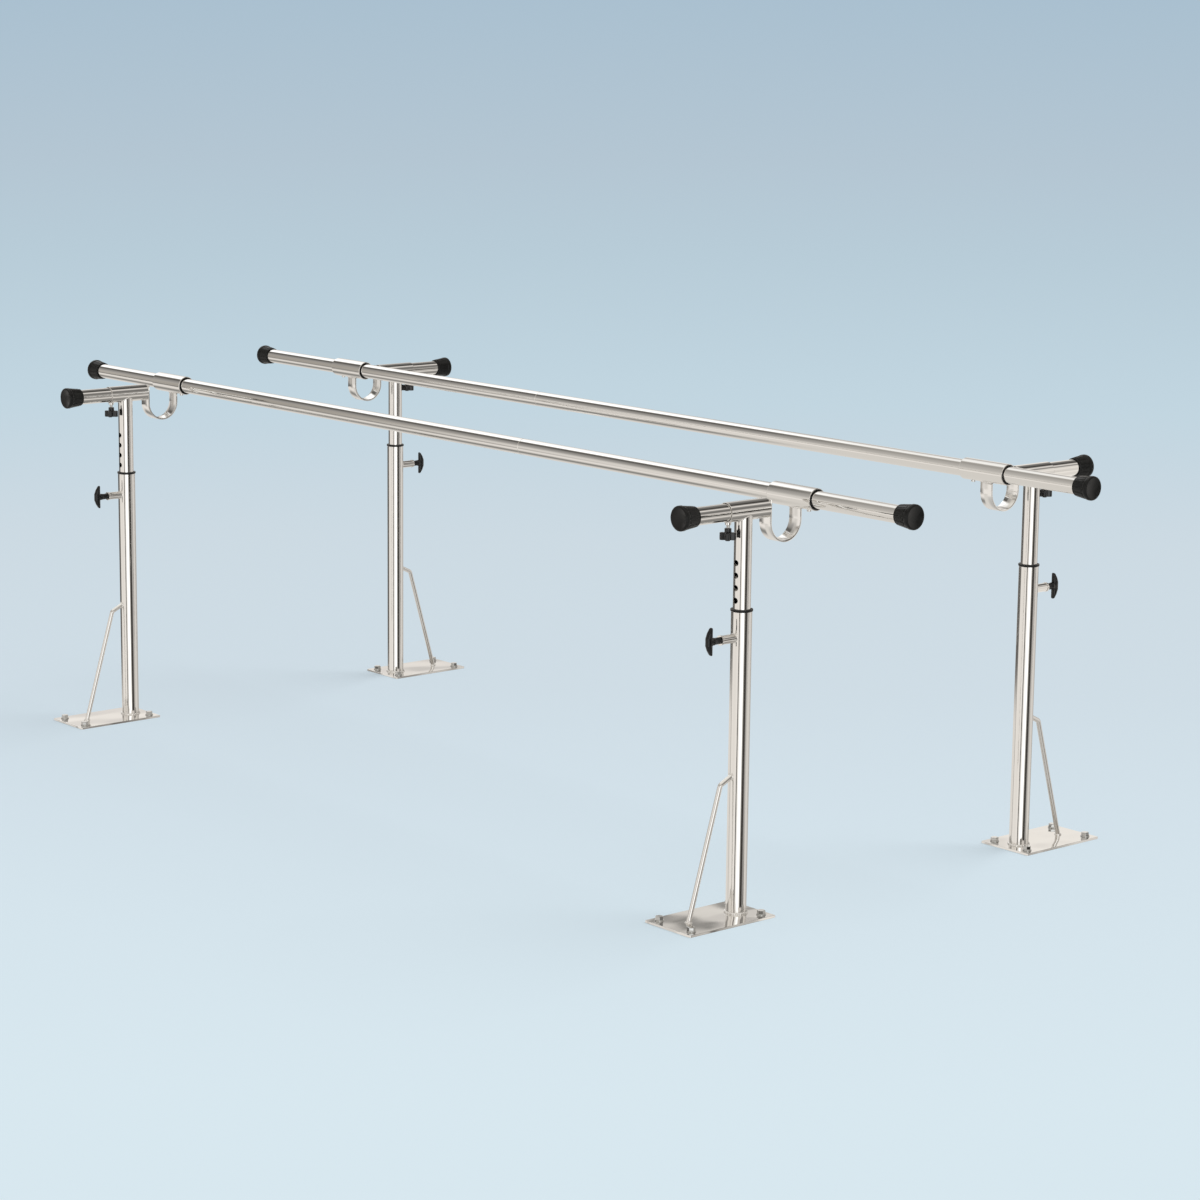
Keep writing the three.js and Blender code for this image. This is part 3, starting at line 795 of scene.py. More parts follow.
# %% Guide bush
MAST_RADIUS = 19.05 * MM
BUSH_PLAY = 0.3 * MM
BUSH_FLANGE = 4.5 * MM
BUSH_LIP = 0.55 * MM
bush_bore = MAST_RADIUS + BUSH_PLAY
bush_outside = post_bore - BUSH_PLAY
bush_under = bush_high.z - BUSH_FLANGE
bush = lathe([
    (bush_bore, bush_low.z), (bush_outside, bush_low.z), (bush_outside, bush_under),
    (bush_high.x, bush_under), (bush_high.x, bush_high.z), (bush_bore, bush_high.z),
], TUBE_STEPS)
on_each_stand("guide_bush", soften(bush, BUSH_LIP, 3), liner_plastic, "stands", "post_bush",
              slot="black_plastic")

# %% [markdown]
# ## Floor plate
# The plate is flat stock with sawn, lightly broken edges and slightly rounded corners. A cube
# scaled to size is bevelled twice: first its four upright edges, widely, and then all the rest.

# %% Floor plate
PLATE_THICKNESS = 5 * MM
PLATE_CORNER = 3 * MM
PLATE_EDGE = 0.6 * MM
SQUARE_CORNER = radians(60)


def floor_plate():
    bm = bmesh.new()
    bmesh.ops.create_cube(bm, size=1.0)
    size = Vector((plate_high.x - plate_low.x, plate_high.y - plate_low.y, PLATE_THICKNESS))
    bmesh.ops.scale(bm, vec=size, verts=bm.verts)
    moved(bm, (0, (plate_low.y + plate_high.y) / 2, PLATE_THICKNESS / 2))
    upright = [e for e in bm.edges if abs(e.verts[0].co.z - e.verts[1].co.z) > PLATE_THICKNESS / 2]
    return soften(bevelled(bm, upright, PLATE_CORNER, 5), PLATE_EDGE, 2, SQUARE_CORNER)


on_each_stand("floor_plate", floor_plate(), plate_steel, "stands", "base_plate")

# %% [markdown]
# ## Anchor bolts
# Each plate is held by four hexagon bolts with a washer face. A bolt is made from a six-sided
# prism whose top edge is chamfered, on a turned flange, and stands near each corner of the plate.
# Each one is turned by its own amount, because nobody lines up bolt heads.

# %% Anchor bolts
BOLT_INSET = 22 * MM
BOLT_ACROSS = 16 * MM
BOLT_HEAD = 8 * MM
BOLT_FLANGE_RADIUS = 10.5 * MM
BOLT_FLANGE = 2.4 * MM
BOLT_FLANGE_RISE = 0.4 * MM
BOLT_CHAMFER = 1.1 * MM
BOLT_EDGE = 0.25 * MM
BOLT_FLANGE_LIP = 0.3 * MM
BOLT_TURNS = (radians(8), radians(37), radians(21), radians(52))
BOLT_TOP_FACING = 0.9
HEX_CORNER = radians(45)


def anchor_bolt():
    """One bolt head on its flange, with its underside at zero."""
    bm = bmesh.new()
    corner = BOLT_ACROSS / 2 / cos(pi / 6)
    bmesh.ops.create_cone(
        bm, cap_ends=True, segments=6, radius1=corner, radius2=corner, depth=BOLT_HEAD
    )
    middle = BOLT_FLANGE + BOLT_HEAD / 2
    moved(bm, (0, 0, middle))
    rim = [e for e in bm.edges if all(v.co.z > middle for v in e.verts)]
    bevelled(bm, rim, BOLT_CHAMFER)
    soften(bm, BOLT_EDGE, 1, HEX_CORNER)
    flange_top = BOLT_FLANGE + BOLT_FLANGE_RISE
    flange = lathe([
        (0, 0), (BOLT_FLANGE_RADIUS, 0), (BOLT_FLANGE_RADIUS, BOLT_FLANGE / 2),
        (corner, flange_top), (0, flange_top),
    ])
    return together(bm, soften(flange, BOLT_FLANGE_LIP))


def anchor_bolts():
    """The four bolts of one plate."""
    side = plate_high.x - BOLT_INSET
    rows = (plate_low.y + BOLT_INSET, plate_high.y - BOLT_INSET)
    corners = [(x, y) for y in rows for x in (-side, side)]
    return together(*(
        moved(anchor_bolt(), Matrix.Rotation(turn, 4, "Z"), (x, y, PLATE_THICKNESS))
        for (x, y), turn in zip(corners, BOLT_TURNS)
    ))


bolts = on_each_stand("anchor_bolts", anchor_bolts(), shaded_bolt_side_steel, "stands")

# %% Bright tops of the bolts, above sides darkened with painted shade
for bolt in bolts.values():
    bolt.data.materials.append(bolt_steel)
    for face in bolt.data.polygons:
        if face.normal.z > BOLT_TOP_FACING:
            face.material_index = 1

# %% [markdown]
# ## Brace
# A round bar runs from the post to the plate, with one sharp bend. It is swept the way a bar
# bender works: a circle is drawn along the first leg, turned about the centre of the bend, and
# drawn along the second leg. A curve with a bevel would do it too, but a bmesh keeps the bar one
# closed solid with an even ring of faces.

# %% Sweeping helpers
ON_EDGE = Matrix.Rotation(pi / 2, 4, "X")


def disc(radius, sides, *moves):
    """One circle of edges, ready to be swept."""
    bm = bmesh.new()
    bmesh.ops.create_circle(bm, segments=sides, radius=radius)
    return moved(bm, *moves)


def of_kind(kind, parts):
    """The corners, edges or faces among the parts that a step has made."""
    return [part for part in parts if isinstance(part, kind)]


def drawn(bm, ring, step):
    """Draw a ring of edges along a straight step and return the new ring."""
    made = bmesh.ops.extrude_edge_only(bm, edges=ring)["geom"]
    corners = of_kind(bmesh.types.BMVert, made)
    bmesh.ops.translate(bm, verts=corners, vec=step)
    edges = of_kind(bmesh.types.BMEdge, made)
    return [edge for edge in edges if set(corners).issuperset(edge.verts)]


def turned_round(bm, ring, centre, axis, angle, steps):
    """Draw a ring of edges along an arc and return the new ring."""
    corners = list({corner for edge in ring for corner in edge.verts})
    made = spun(bm, corners + ring, angle, steps, centre=centre, axis=axis)
    return of_kind(bmesh.types.BMEdge, made)


def closed(bm):
    """Close the open ends of a sweep and point its faces outwards."""
    rims = [edge for edge in bm.edges if edge.is_boundary]
    bmesh.ops.holes_fill(bm, edges=rims, sides=0)
    bmesh.ops.recalc_face_normals(bm, faces=bm.faces)
    return bm


# %% Brace bar
BRACE_RADIUS = 5.5 * MM
BRACE_BEND = 8.5 * MM
BRACE_TOP = 306 * MM
BRACE_ELBOW = Vector((0, 52 * MM, 291 * MM))
BRACE_FOOT = Vector((0, 136 * MM, PLATE_THICKNESS))
BRACE_SINK = 1 * MM
BRACE_BEND_STEPS = 14
BRACE_SIDES = 32


def brace_bar():
    start = Vector((0, POST_RADIUS - BRACE_SINK, BRACE_TOP))
    first = (BRACE_ELBOW - start).normalized()
    second = (BRACE_FOOT - BRACE_ELBOW).normalized()
    bend = first.angle(second)
    tangent = BRACE_BEND * sin(bend / 2) / cos(bend / 2)
    side = Vector((1, 0, 0))
    bend_start = BRACE_ELBOW - tangent * first
    bend_end = BRACE_ELBOW + tangent * second
    centre = bend_start - BRACE_BEND * side.cross(first)
    aim = first.to_track_quat("Z", "Y").to_matrix().to_4x4()
    bm = disc(BRACE_RADIUS, BRACE_SIDES, aim, start)
    ring = drawn(bm, list(bm.edges), bend_start - start)
    ring = turned_round(bm, ring, centre, -side, bend, BRACE_BEND_STEPS)
    drawn(bm, ring, second * ((BRACE_FOOT.z - BRACE_SINK - bend_end.z) / second.z))
    return closed(bm)


on_each_stand("brace_bar", brace_bar(), upright_steel, "stands", "brace_rod", crease=radians(35))

# %% [markdown]
# ## Mast
# The mast slides in the post and carries the cross sleeve. Its row of height holes has to be
# real, because the light inside a hole is what makes it read, so the holes are cut with a
# Boolean. A Boolean leaves large faces with many sides, which a mirror finish would show
# as kinks. The cure is to write the exact normals of a cylinder on the mast's own faces.

# %% Boolean cut and exact round normals
FACING = 0.97
ON_SURFACE = 0.05 * MM


def cut_away(bm, cutter, name):
    """Subtract one closed bmesh from another and return the result as a mesh."""
    body = put(name, finished(bm, name))
    tool = put(f"{name}_cutter", finished(cutter, f"{name}_cutter"))
    step = body.modifiers.new("cut", "BOOLEAN")
    step.operation = "DIFFERENCE"
    step.solver = "EXACT"
    step.object = tool
    ready = bpy.context.evaluated_depsgraph_get()
    mesh = bpy.data.meshes.new_from_object(body.evaluated_get(ready))
    for spent in (body, tool):
        bpy.data.objects.remove(spent)
    return mesh


def round_normals(mesh, radius, bore):
    """Give the faces of an upright tube the normals of a true cylinder."""
    normals = []
    for face in mesh.polygons:
        for corner in face.vertices:
            place = mesh.vertices[corner].co
            away = Vector((place.x, place.y, 0)).normalized()
            lean = away.dot(face.normal)
            distance = hypot(place.x, place.y)
            if abs(distance - radius) < ON_SURFACE and lean > FACING:
                normals.append(away)
            elif abs(distance - bore) < ON_SURFACE and lean < -FACING:
                normals.append(-away)
            else:
                normals.append(face.normal)
    mesh.normals_split_custom_set(normals)
    return mesh


# %% Mast tube
MAST_WALL = 1.5 * MM
SLEEVE_WALL = 1.5 * MM
HOLE_RADIUS = 6.5 * MM
HOLE_PITCH = 26.7 * MM
HOLES_ABOVE = 6
HOLES_BELOW = 3
CUT_OVERRUN = 2 * MM


def mast_tube():
    bore = MAST_RADIUS - MAST_WALL
    mast = tube(bore, MAST_RADIUS, mast_low.z, arm_height)
    reach = 2 * MAST_RADIUS
    saddle = rod(sleeve_radius - SLEEVE_WALL / 2, -reach, reach, TUBE_STEPS)
    cutters = [moved(saddle, ALONG_Y, (0, 0, arm_height))]
    for step in range(-HOLES_BELOW, HOLES_ABOVE + 1):
        hole = rod(HOLE_RADIUS, bore / 2, MAST_RADIUS + CUT_OVERRUN)
        cutters.append(moved(hole, ALONG_Y, (0, 0, plunger_height + step * HOLE_PITCH)))
    mesh = cut_away(mast, together(*cutters), "mast_tube")
    return round_normals(mesh, MAST_RADIUS, bore)


on_each_stand("mast_tube", mast_tube(), upright_steel, "upright", "mast")

# %% [markdown]
# ## Cross sleeve
# The short tube across the top of the mast holds the sliding arm. A boss for the clamp screw is
# welded under its outer end.

# %% Cross sleeve and clamp boss
KNOB_PLACE = 43.6 * MM
BOSS_RADIUS = 6.5 * MM
BOSS_BORE = 4.3 * MM
BOSS_LENGTH = 5 * MM
BOSS_LIP = 0.5 * MM
SLEEVE_LIP = 0.6 * MM
sleeve_under = arm_height - sleeve_radius
sleeve = tube(sleeve_radius - SLEEVE_WALL, sleeve_radius, mast_low.y, mast_high.y, SLEEVE_LIP)
boss = tube(BOSS_BORE, BOSS_RADIUS, sleeve_under - BOSS_LENGTH, sleeve_under + SLEEVE_WALL,
            BOSS_LIP, SMALL_STEPS)
on_each_stand("cross_sleeve", moved(sleeve, ALONG_Y, (0, 0, arm_height)), sleeve_steel, "upright")
on_each_stand("clamp_boss", moved(boss, (0, KNOB_PLACE, 0)), upright_steel, "upright")

# %% [markdown]
# ## Sliding arm
# A tube of the grip tube's size slides in the cross sleeve. Its inner end butts on the hook and
# its outer end is inside a rubber cap.

# %% Sliding arm
ARM_RADIUS = 19.05 * MM
ARM_WALL = 1.5 * MM
arm = tube(ARM_RADIUS - ARM_WALL, ARM_RADIUS, slide_low.y, slide_high.y)
on_each_stand("sliding_arm", moved(arm, ALONG_Y, (0, 0, arm_height)), sleeve_steel, "arm",
              "slide_tube")

# %% [markdown]
# ## Hook
# The rail hangs on a flat bar bent into a U, which leaves room for a hand to slide past. The
# bar's section is drawn down the first leg, turned half a circle, and drawn up the second leg,
# as the brace was, and its long edges are rounded.

# %% Hook
STRAP_WIDTH = 34 * MM
STRAP_THICKNESS = 4 * MM
STRAP_SPAN = 87 * MM
STRAP_LEG_DROP = 30.5 * MM
STRAP_STEPS = 48
STRAP_EDGE = 0.25 * MM
STRAP_SEAT = 0.8 * MM
STRAP_FIT = 0.3 * MM
strap_near = slide_low.y - STRAP_FIT - STRAP_THICKNESS / 2
strap_far = strap_near - STRAP_SPAN
rail_sleeve_radius = hanger_high.z - rail_height


def hook_strap():
    bm = bmesh.new()
    bmesh.ops.create_grid(bm, x_segments=1, y_segments=1, size=0.5)
    bmesh.ops.delete(bm, geom=list(bm.faces), context="FACES_ONLY")
    bmesh.ops.scale(bm, vec=(STRAP_WIDTH, STRAP_THICKNESS, 1), verts=bm.verts)
    near_top = arm_height + ARM_RADIUS
    far_top = rail_height - rail_sleeve_radius + STRAP_SEAT
    bend_height = arm_height - STRAP_LEG_DROP
    moved(bm, (0, strap_near, near_top))
    ring = drawn(bm, list(bm.edges), Vector((0, 0, bend_height - near_top)))
    centre = Vector((0, (strap_near + strap_far) / 2, bend_height))
    ring = turned_round(bm, ring, centre, (-1, 0, 0), pi, STRAP_STEPS)
    drawn(bm, ring, Vector((0, 0, far_top - bend_height)))
    return soften(closed(bm), STRAP_EDGE, 3, SQUARE_CORNER)


on_each_stand("hook_strap", hook_strap(), strap_steel, "arm", "rail_hanger", crease=radians(25))

# %% [markdown]
# ## Rail sleeve, liner and set screw
# The rail passes through a short wide sleeve that is welded on the hook. A black plastic liner
# shows as a ring at the sleeve's mouths, and a small set screw below keeps the rail from sliding.

# %% Rail sleeve, liner and set screw
RAIL_RADIUS = 19.05 * MM
RAIL_SLEEVE_WALL = 2 * MM
LINER_PLAY = 0.3 * MM
LINER_WALL = 2.5 * MM
SET_SCREW_INSET = 24 * MM
SET_SCREW_HEAD = 4.6 * MM
SET_SCREW_HEIGHT = 4 * MM
SET_SCREW_SOCKET = 2.4 * MM
SET_SCREW_LIP = 0.7 * MM
RAIL_SLEEVE_LIP = 0.8 * MM
LINER_LIP = 0.3 * MM
on_rail = (0, rail_reach, rail_height)
rail_sleeve = tube(rail_sleeve_radius - RAIL_SLEEVE_WALL, rail_sleeve_radius, hanger_low.x,
                   hanger_high.x, RAIL_SLEEVE_LIP)
liner_bore = RAIL_RADIUS + LINER_PLAY
liner = tube(liner_bore, liner_bore + LINER_WALL, liner_low.x, liner_high.x, LINER_LIP)


def set_screw():
    """A button screw with a round socket, pointing down from the sleeve."""
    seat = rail_height - rail_sleeve_radius
    head = seat - SET_SCREW_HEIGHT
    top = seat + RAIL_SLEEVE_WALL / 2
    screw = lathe([
        (0, head + SET_SCREW_SOCKET), (SET_SCREW_SOCKET, head + SET_SCREW_SOCKET),
        (SET_SCREW_SOCKET, head), (SET_SCREW_HEAD, head), (SET_SCREW_HEAD, top), (0, top),
    ])
    place = (hanger_low.x + SET_SCREW_INSET, rail_reach, 0)
    return moved(soften(screw, SET_SCREW_LIP, 3), place)


on_each_stand("rail_sleeve", moved(rail_sleeve, ALONG_X, on_rail), rail_steel, "arm")
on_each_stand("sleeve_liner", moved(liner, ALONG_X, on_rail), liner_plastic, "arm", "rail_liner",
              slot="black_plastic")
on_each_stand("set_screw", set_screw(), bolt_steel, "arm")

# %% [markdown]
# ## Rubber caps
# All eight tube ends carry the same cap. It widens from a smooth lip at its mouth to a broad
# band round its flat face, and raised ribs run along it. The body is turned, and the ribs are
# made from its own faces: three of every four faces round the skirt are inset and lifted.

# %% Rubber cap
CAP_PLAY = 0.3 * MM
CAP_BORE = ARM_RADIUS + CAP_PLAY
CAP_WALL_LEAST = 1 * MM
CAP_RIBS = 16
CAP_FACES_A_RIB = 8
CAP_RIB_SHARE = 0.7
CAP_RIB_LIFT = 0.8 * MM
CAP_RIB_SLOPE = 0.7 * MM
CAP_SKIRT_START = 4 * MM
CAP_SKIRT_END = 30.5 * MM
CAP_SKIRT_FACING = 0.1
CAP_OUTLINE = (
    (19.35, 0.0), (21.2, 0.0), (22.0, 0.8), (22.2, 2.2), (21.7, 3.6), (21.8, 4.0), (24.9, 30.5),
    (25.2, 32.2), (26.3, 33.2), (26.85, 34.6), (26.85, 40.2), (26.4, 41.9), (25.3, 43.1),
    (23.6, 43.5), (22.4, 43.4), (21.7, 42.9), (0.0, 42.9),
)
CAP_FLOOR = 34 * MM


def rubber_cap():
    """A cap with its mouth at zero and its face at the top."""
    outside = [(radius * MM, height * MM) for radius, height in CAP_OUTLINE]
    bm = lathe([(0, CAP_FLOOR), (CAP_BORE, CAP_FLOOR)] + outside, CAP_FACES_A_RIB * CAP_RIBS)
    step = 2 * pi / CAP_RIBS
    ribs = []
    for face in bm.faces:
        middle = face.calc_center_median()
        share = (atan2(middle.y, middle.x) % step) / step
        on_skirt = CAP_SKIRT_START < middle.z < CAP_SKIRT_END
        shows = hypot(middle.x, middle.y) > CAP_BORE + CAP_WALL_LEAST
        upright = face.normal.z < CAP_SKIRT_FACING
        if on_skirt and shows and upright and share < CAP_RIB_SHARE:
            ribs.append(face)
    bmesh.ops.inset_region(
        bm, faces=ribs, thickness=CAP_RIB_SLOPE, depth=CAP_RIB_LIFT, use_even_offset=True,
        use_boundary=True,
    )
    return bm


cap_mesh = finished(rubber_cap(), "rubber_cap", radians(38))
cap_face = max(corner.co.z for corner in cap_mesh.vertices)
print("cap face at", round(cap_face / MM, 2), "mm,", len(cap_mesh.polygons), "faces")


def add_cap(name, body, node_name, place):
    add_piece(name, cap_mesh, cap_rubber, body, [node_name], place)


for place in PLACES:
    move = stand_place(place) @ Matrix.Translation((0, cap_mouth, arm_height)) @ ALONG_Y
    add_cap(f"arm_cap_{place}", f"arm_{place}", f"slide_cap_{place}", move)

# %% [markdown]
# ## Handrails
# Each rail is a long and a short length of grip tube, joined on a hidden spigot. The joint shows
# as a fine ring, so both ends at it get a rounded lip that catches the light.

# %% Handrails
RAIL_WALL = 1.5 * MM
JOINT_LIP = 0.9 * MM
JOINT_GAP = 0.3 * MM
SPIGOT_WALL = 2 * MM
SPIGOT_REACH = 60 * MM
rail_bore = RAIL_RADIUS - RAIL_WALL
spigot = rail_bore - JOINT_GAP


def short_length(far_end, joint):
    """The short length of a rail with the spigot that reaches into the long one."""
    return lathe([
        (rail_bore, far_end), (RAIL_RADIUS, far_end), (RAIL_RADIUS, joint - JOINT_LIP),
        (RAIL_RADIUS - JOINT_LIP / 3, joint - JOINT_LIP / 3), (RAIL_RADIUS - JOINT_LIP, joint),
        (spigot, joint), (spigot, joint + SPIGOT_REACH),
        (spigot - SPIGOT_WALL, joint + SPIGOT_REACH),
        (spigot - SPIGOT_WALL, joint - SPIGOT_REACH), (rail_bore, joint - SPIGOT_REACH),
    ], TUBE_STEPS)


for side, outward in OUTWARD.items():
    body = f"arm_{side}_right"
    long_low, long_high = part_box(f"rail_long_{side}")
    short_low, short_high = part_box(f"rail_short_{side}")
    middle = (long_low + long_high) / 2
    turn = Matrix.Rotation(pi if outward < 0 else 0, 4, "Z")
    axis = Matrix.Translation((0, middle.y, middle.z)) @ turn @ ALONG_X
    joint_end, free_end = sorted((long_low.x * outward, long_high.x * outward))
    far_end = min(short_low.x * outward, short_high.x * outward)
    lengths = {
        "long": tube(rail_bore, RAIL_RADIUS, joint_end, free_end, JOINT_LIP),
        "short": short_length(far_end, joint_end - JOINT_GAP),
    }
    for name, shape in lengths.items():
        add_piece(f"grip_tube_{name}_{side}", finished(shape, f"grip_tube_{name}"), rail_steel,
                  body, [f"rail_{name}_{side}"], axis)
    for end, half_turn in (("right", 0), ("left", pi)):
        low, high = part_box(f"rail_cap_{side}_{end}")
        mouth = high.x if half_turn else low.x
        move = Matrix.Translation((mouth, middle.y, middle.z)) @ Matrix.Rotation(half_turn, 4, "Z")
        add_cap(f"grip_cap_{side}_{end}", body, f"rail_cap_{side}_{end}", move @ ALONG_X)
    print(side, "rail from", round(long_low.x, 3), "to", round(long_high.x, 3))

# %% [markdown]
# ## Plunger housing
# A bright stub tube on the outside of the post guides the plunger. It has a slightly wider rim at
# its mouth, and its inner end is welded to the post.

# %% Plunger housing
HOUSING_RADIUS = 9.6 * MM
HOUSING_BORE = 7.7 * MM
HOUSING_RIM = 4 * MM
HOUSING_RIM_STEP = 1.2 * MM
HOUSING_GROOVE = 0.8 * MM
HOUSING_END_WALL = 5 * MM
NECK_RADIUS = 4.2 * MM
HOUSING_LIP = 0.35 * MM


def plunger_housing():
    start = POST_RADIUS - POST_WALL / 2
    rim = housing_end - HOUSING_RIM
    groove = HOUSING_RADIUS - HOUSING_GROOVE
    rim_radius = HOUSING_RADIUS + HOUSING_RIM_STEP
    neck_hole = NECK_RADIUS + BUSH_PLAY
    end_wall = housing_end - HOUSING_END_WALL
    shell = lathe([
        (HOUSING_BORE, start), (HOUSING_RADIUS, start), (HOUSING_RADIUS, rim - HOUSING_GROOVE),
        (groove, rim - HOUSING_GROOVE), (groove, rim), (rim_radius, rim),
        (rim_radius, housing_end), (neck_hole, housing_end), (neck_hole, end_wall),
        (HOUSING_BORE, end_wall),
    ])
    return moved(soften(shell, HOUSING_LIP), ALONG_Y, (0, 0, plunger_height))


on_each_stand("stub_tube", plunger_housing(), sleeve_steel, "stands", "plunger_housing")

# %% [markdown]
# ## Plunger spring
# The coil sits in the stub tube and is pressed when the grip is pulled. A small circle spun
# round the axis while it moves along it makes the coil.

# %% Plunger spring
SPRING_RADIUS = 5.8 * MM
WIRE_RADIUS = 0.7 * MM
SPRING_TURNS = 6
SPRING_STEPS = 24
WIRE_SIDES = 10
spring_length = spring_high.y - spring_low.y


def plunger_spring():
    bm = disc(WIRE_RADIUS, WIRE_SIDES, ON_EDGE, (SPRING_RADIUS, 0, 0))
    steps = SPRING_TURNS * SPRING_STEPS
    climb = (spring_length - 2 * WIRE_RADIUS) / steps
    spun(bm, list(bm.verts) + list(bm.edges), 2 * pi * SPRING_TURNS, steps, climb)
    start = (0, 0, spring_low.y + WIRE_RADIUS)
    return moved(closed(bm), start, ALONG_Y, (0, 0, plunger_height))


springs = on_each_stand("coil_spring", plunger_spring(), wire_steel, "stands", "plunger_spring",
                        slot="spring_steel", crease=radians(50))
for place, spring in springs.items():
    outward = OUTWARD[place.split("_")[0]]
    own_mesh(spring)

# %% [markdown]
# ## Pull grip
# The black T-grip has soft, hand-shaped forms, so it is modelled as a coarse cage that a
# Subdivision Surface rounds off. The cage is a column of square rings that follows the crescent
# of the grip. The middle face on its inner side is then drawn out as the stem, which gives the
# stem its flare for free. The steel pin inside is turned, and rides along.

# %% Pull grip
GRIP_HALF_LENGTH = 29.75 * MM
GRIP_HALF_WIDTH = 7 * MM
GRIP_DEPTH = 17 * MM
GRIP_TIP_DEPTH = 6 * MM
GRIP_SWEEP = 1 * MM
STEM_RADIUS = 7.35 * MM
STEM_LENGTH = 22 * MM
GRIP_ROUNDINGS = 3
CAGE_SWELL = 1.09      # a subdivided cage shrinks, so it starts larger by this
CAGE_ROWS = ((-1.02, 0.45), (-0.93, 0.72), (-0.64, 0.92), (-0.28, 1), (0.28, 1), (0.64, 0.92),
             (0.93, 0.72), (1.02, 0.45))
STEM_ROWS = ((0.12, 1.2), (0.34, 1.02), (0.64, 1.0), (0.96, 1.0), (1.0, 1.0))


def grip_row(bm, corners, share, fullness):
    """Set one square ring of the cage at a share of the grip's half length."""
    bow = share * share
    inner = -GRIP_SWEEP * bow
    outer = GRIP_DEPTH - (GRIP_DEPTH - GRIP_TIP_DEPTH + GRIP_SWEEP) * bow
    middle = (inner + outer) / 2
    depth = (outer - inner) / 2 * fullness * CAGE_SWELL
    width = GRIP_HALF_WIDTH * fullness * CAGE_SWELL
    old_middle = sum(corner.co.y for corner in corners) / len(corners)
    for corner in corners:
        side = 1 if corner.co.x > 0 else -1
        face = 1 if corner.co.y > old_middle else -1
        corner.co = Vector((side * width, middle + face * depth, share * GRIP_HALF_LENGTH))


def drawn_face(bm, face):
    """Draw one face out of a shape and return the new face."""
    made = bmesh.ops.extrude_face_region(bm, geom=[face])["geom"]
    return of_kind(bmesh.types.BMFace, made)[0]


def grip_cage():
    bm = bmesh.new()
    bmesh.ops.create_grid(bm, x_segments=1, y_segments=1, size=MM)
    face = bm.faces[:][0]
    grip_row(bm, face.verts, *CAGE_ROWS[0])
    for row in CAGE_ROWS[1:]:
        face = drawn_face(bm, face)
        grip_row(bm, face.verts, *row)
    bmesh.ops.recalc_face_normals(bm, faces=bm.faces)
    bm.faces.ensure_lookup_table()
    neck = min(bm.faces, key=lambda f: f.calc_center_median().y + abs(f.calc_center_median().z))
    for share, size in STEM_ROWS:
        base = neck
        neck = drawn_face(bm, base)
        bmesh.ops.delete(bm, geom=[base], context="FACES_ONLY")
        half = STEM_RADIUS * size * CAGE_SWELL
        for corner in neck.verts:
            corner.co.x = half if corner.co.x > 0 else -half
            corner.co.z = half if corner.co.z > 0 else -half
            corner.co.y = -share * STEM_LENGTH
    bmesh.ops.recalc_face_normals(bm, faces=bm.faces)
    return moved(bm, (0, handle_high.y - GRIP_DEPTH, plunger_height))


grips = on_each_stand("pull_grip", grip_cage(), grip_plastic, "plunger", "plunger_handle",
                      slot="black_plastic", crease=pi)
for grip in grips.values():
    rounding = grip.modifiers.new("rounding", "SUBSURF")
    rounding.levels = GRIP_ROUNDINGS
    rounding.render_levels = GRIP_ROUNDINGS

# %% Lock pin
PIN_RADIUS = 6 * MM
COLLAR_RADIUS = 7.1 * MM
COLLAR_START = 28.5 * MM
COLLAR_END = 31.5 * MM
PIN_IN_STEM = 4 * MM
PIN_LIP = 0.5 * MM


def lock_pin():
    neck_end = handle_high.y - GRIP_DEPTH - STEM_LENGTH + PIN_IN_STEM
    pin = lathe([
        (0, handle_low.y), (PIN_RADIUS, handle_low.y), (PIN_RADIUS, COLLAR_START),
        (COLLAR_RADIUS, COLLAR_START), (COLLAR_RADIUS, COLLAR_END), (NECK_RADIUS, COLLAR_END),
        (NECK_RADIUS, neck_end), (0, neck_end),
    ])
    return moved(soften(pin, PIN_LIP), ALONG_Y, (0, 0, plunger_height))


on_each_stand("lock_pin", lock_pin(), bolt_steel, "plunger", slot="black_plastic")

# %% [markdown]
# ## Clamp knob
# Under the cross sleeve hangs a black knob with four lobes on a bright screw. The outline of the
# lobes is four arcs, drawn out to a slab and rounded all over. The screw's thread is a real
# helix: a V-shaped outline as tall as the pitch, spun while it climbs one pitch per turn.

# %% Clamp knob
KNOB_LOBES = 4
KNOB_REACH = 17.5 * MM
KNOB_TIP_RADIUS = 5.2 * MM
KNOB_VALLEY = 7.6 * MM
KNOB_LOBE_HEIGHT = 16 * MM
KNOB_HUB_RADIUS = 7.3 * MM
KNOB_HUB_HEIGHT = 9 * MM
KNOB_ARC_STEPS = 10
KNOB_VALLEY_ROUNDING = 2.2 * MM
KNOB_RIM_ROUNDING = 1.3 * MM
KNOB_HUB_ROUNDING = 0.9 * MM
KNOB_HUB_SINK = 2 * MM
lobe_top = lobe_low + KNOB_LOBE_HEIGHT
hub_top = lobe_top + KNOB_HUB_HEIGHT


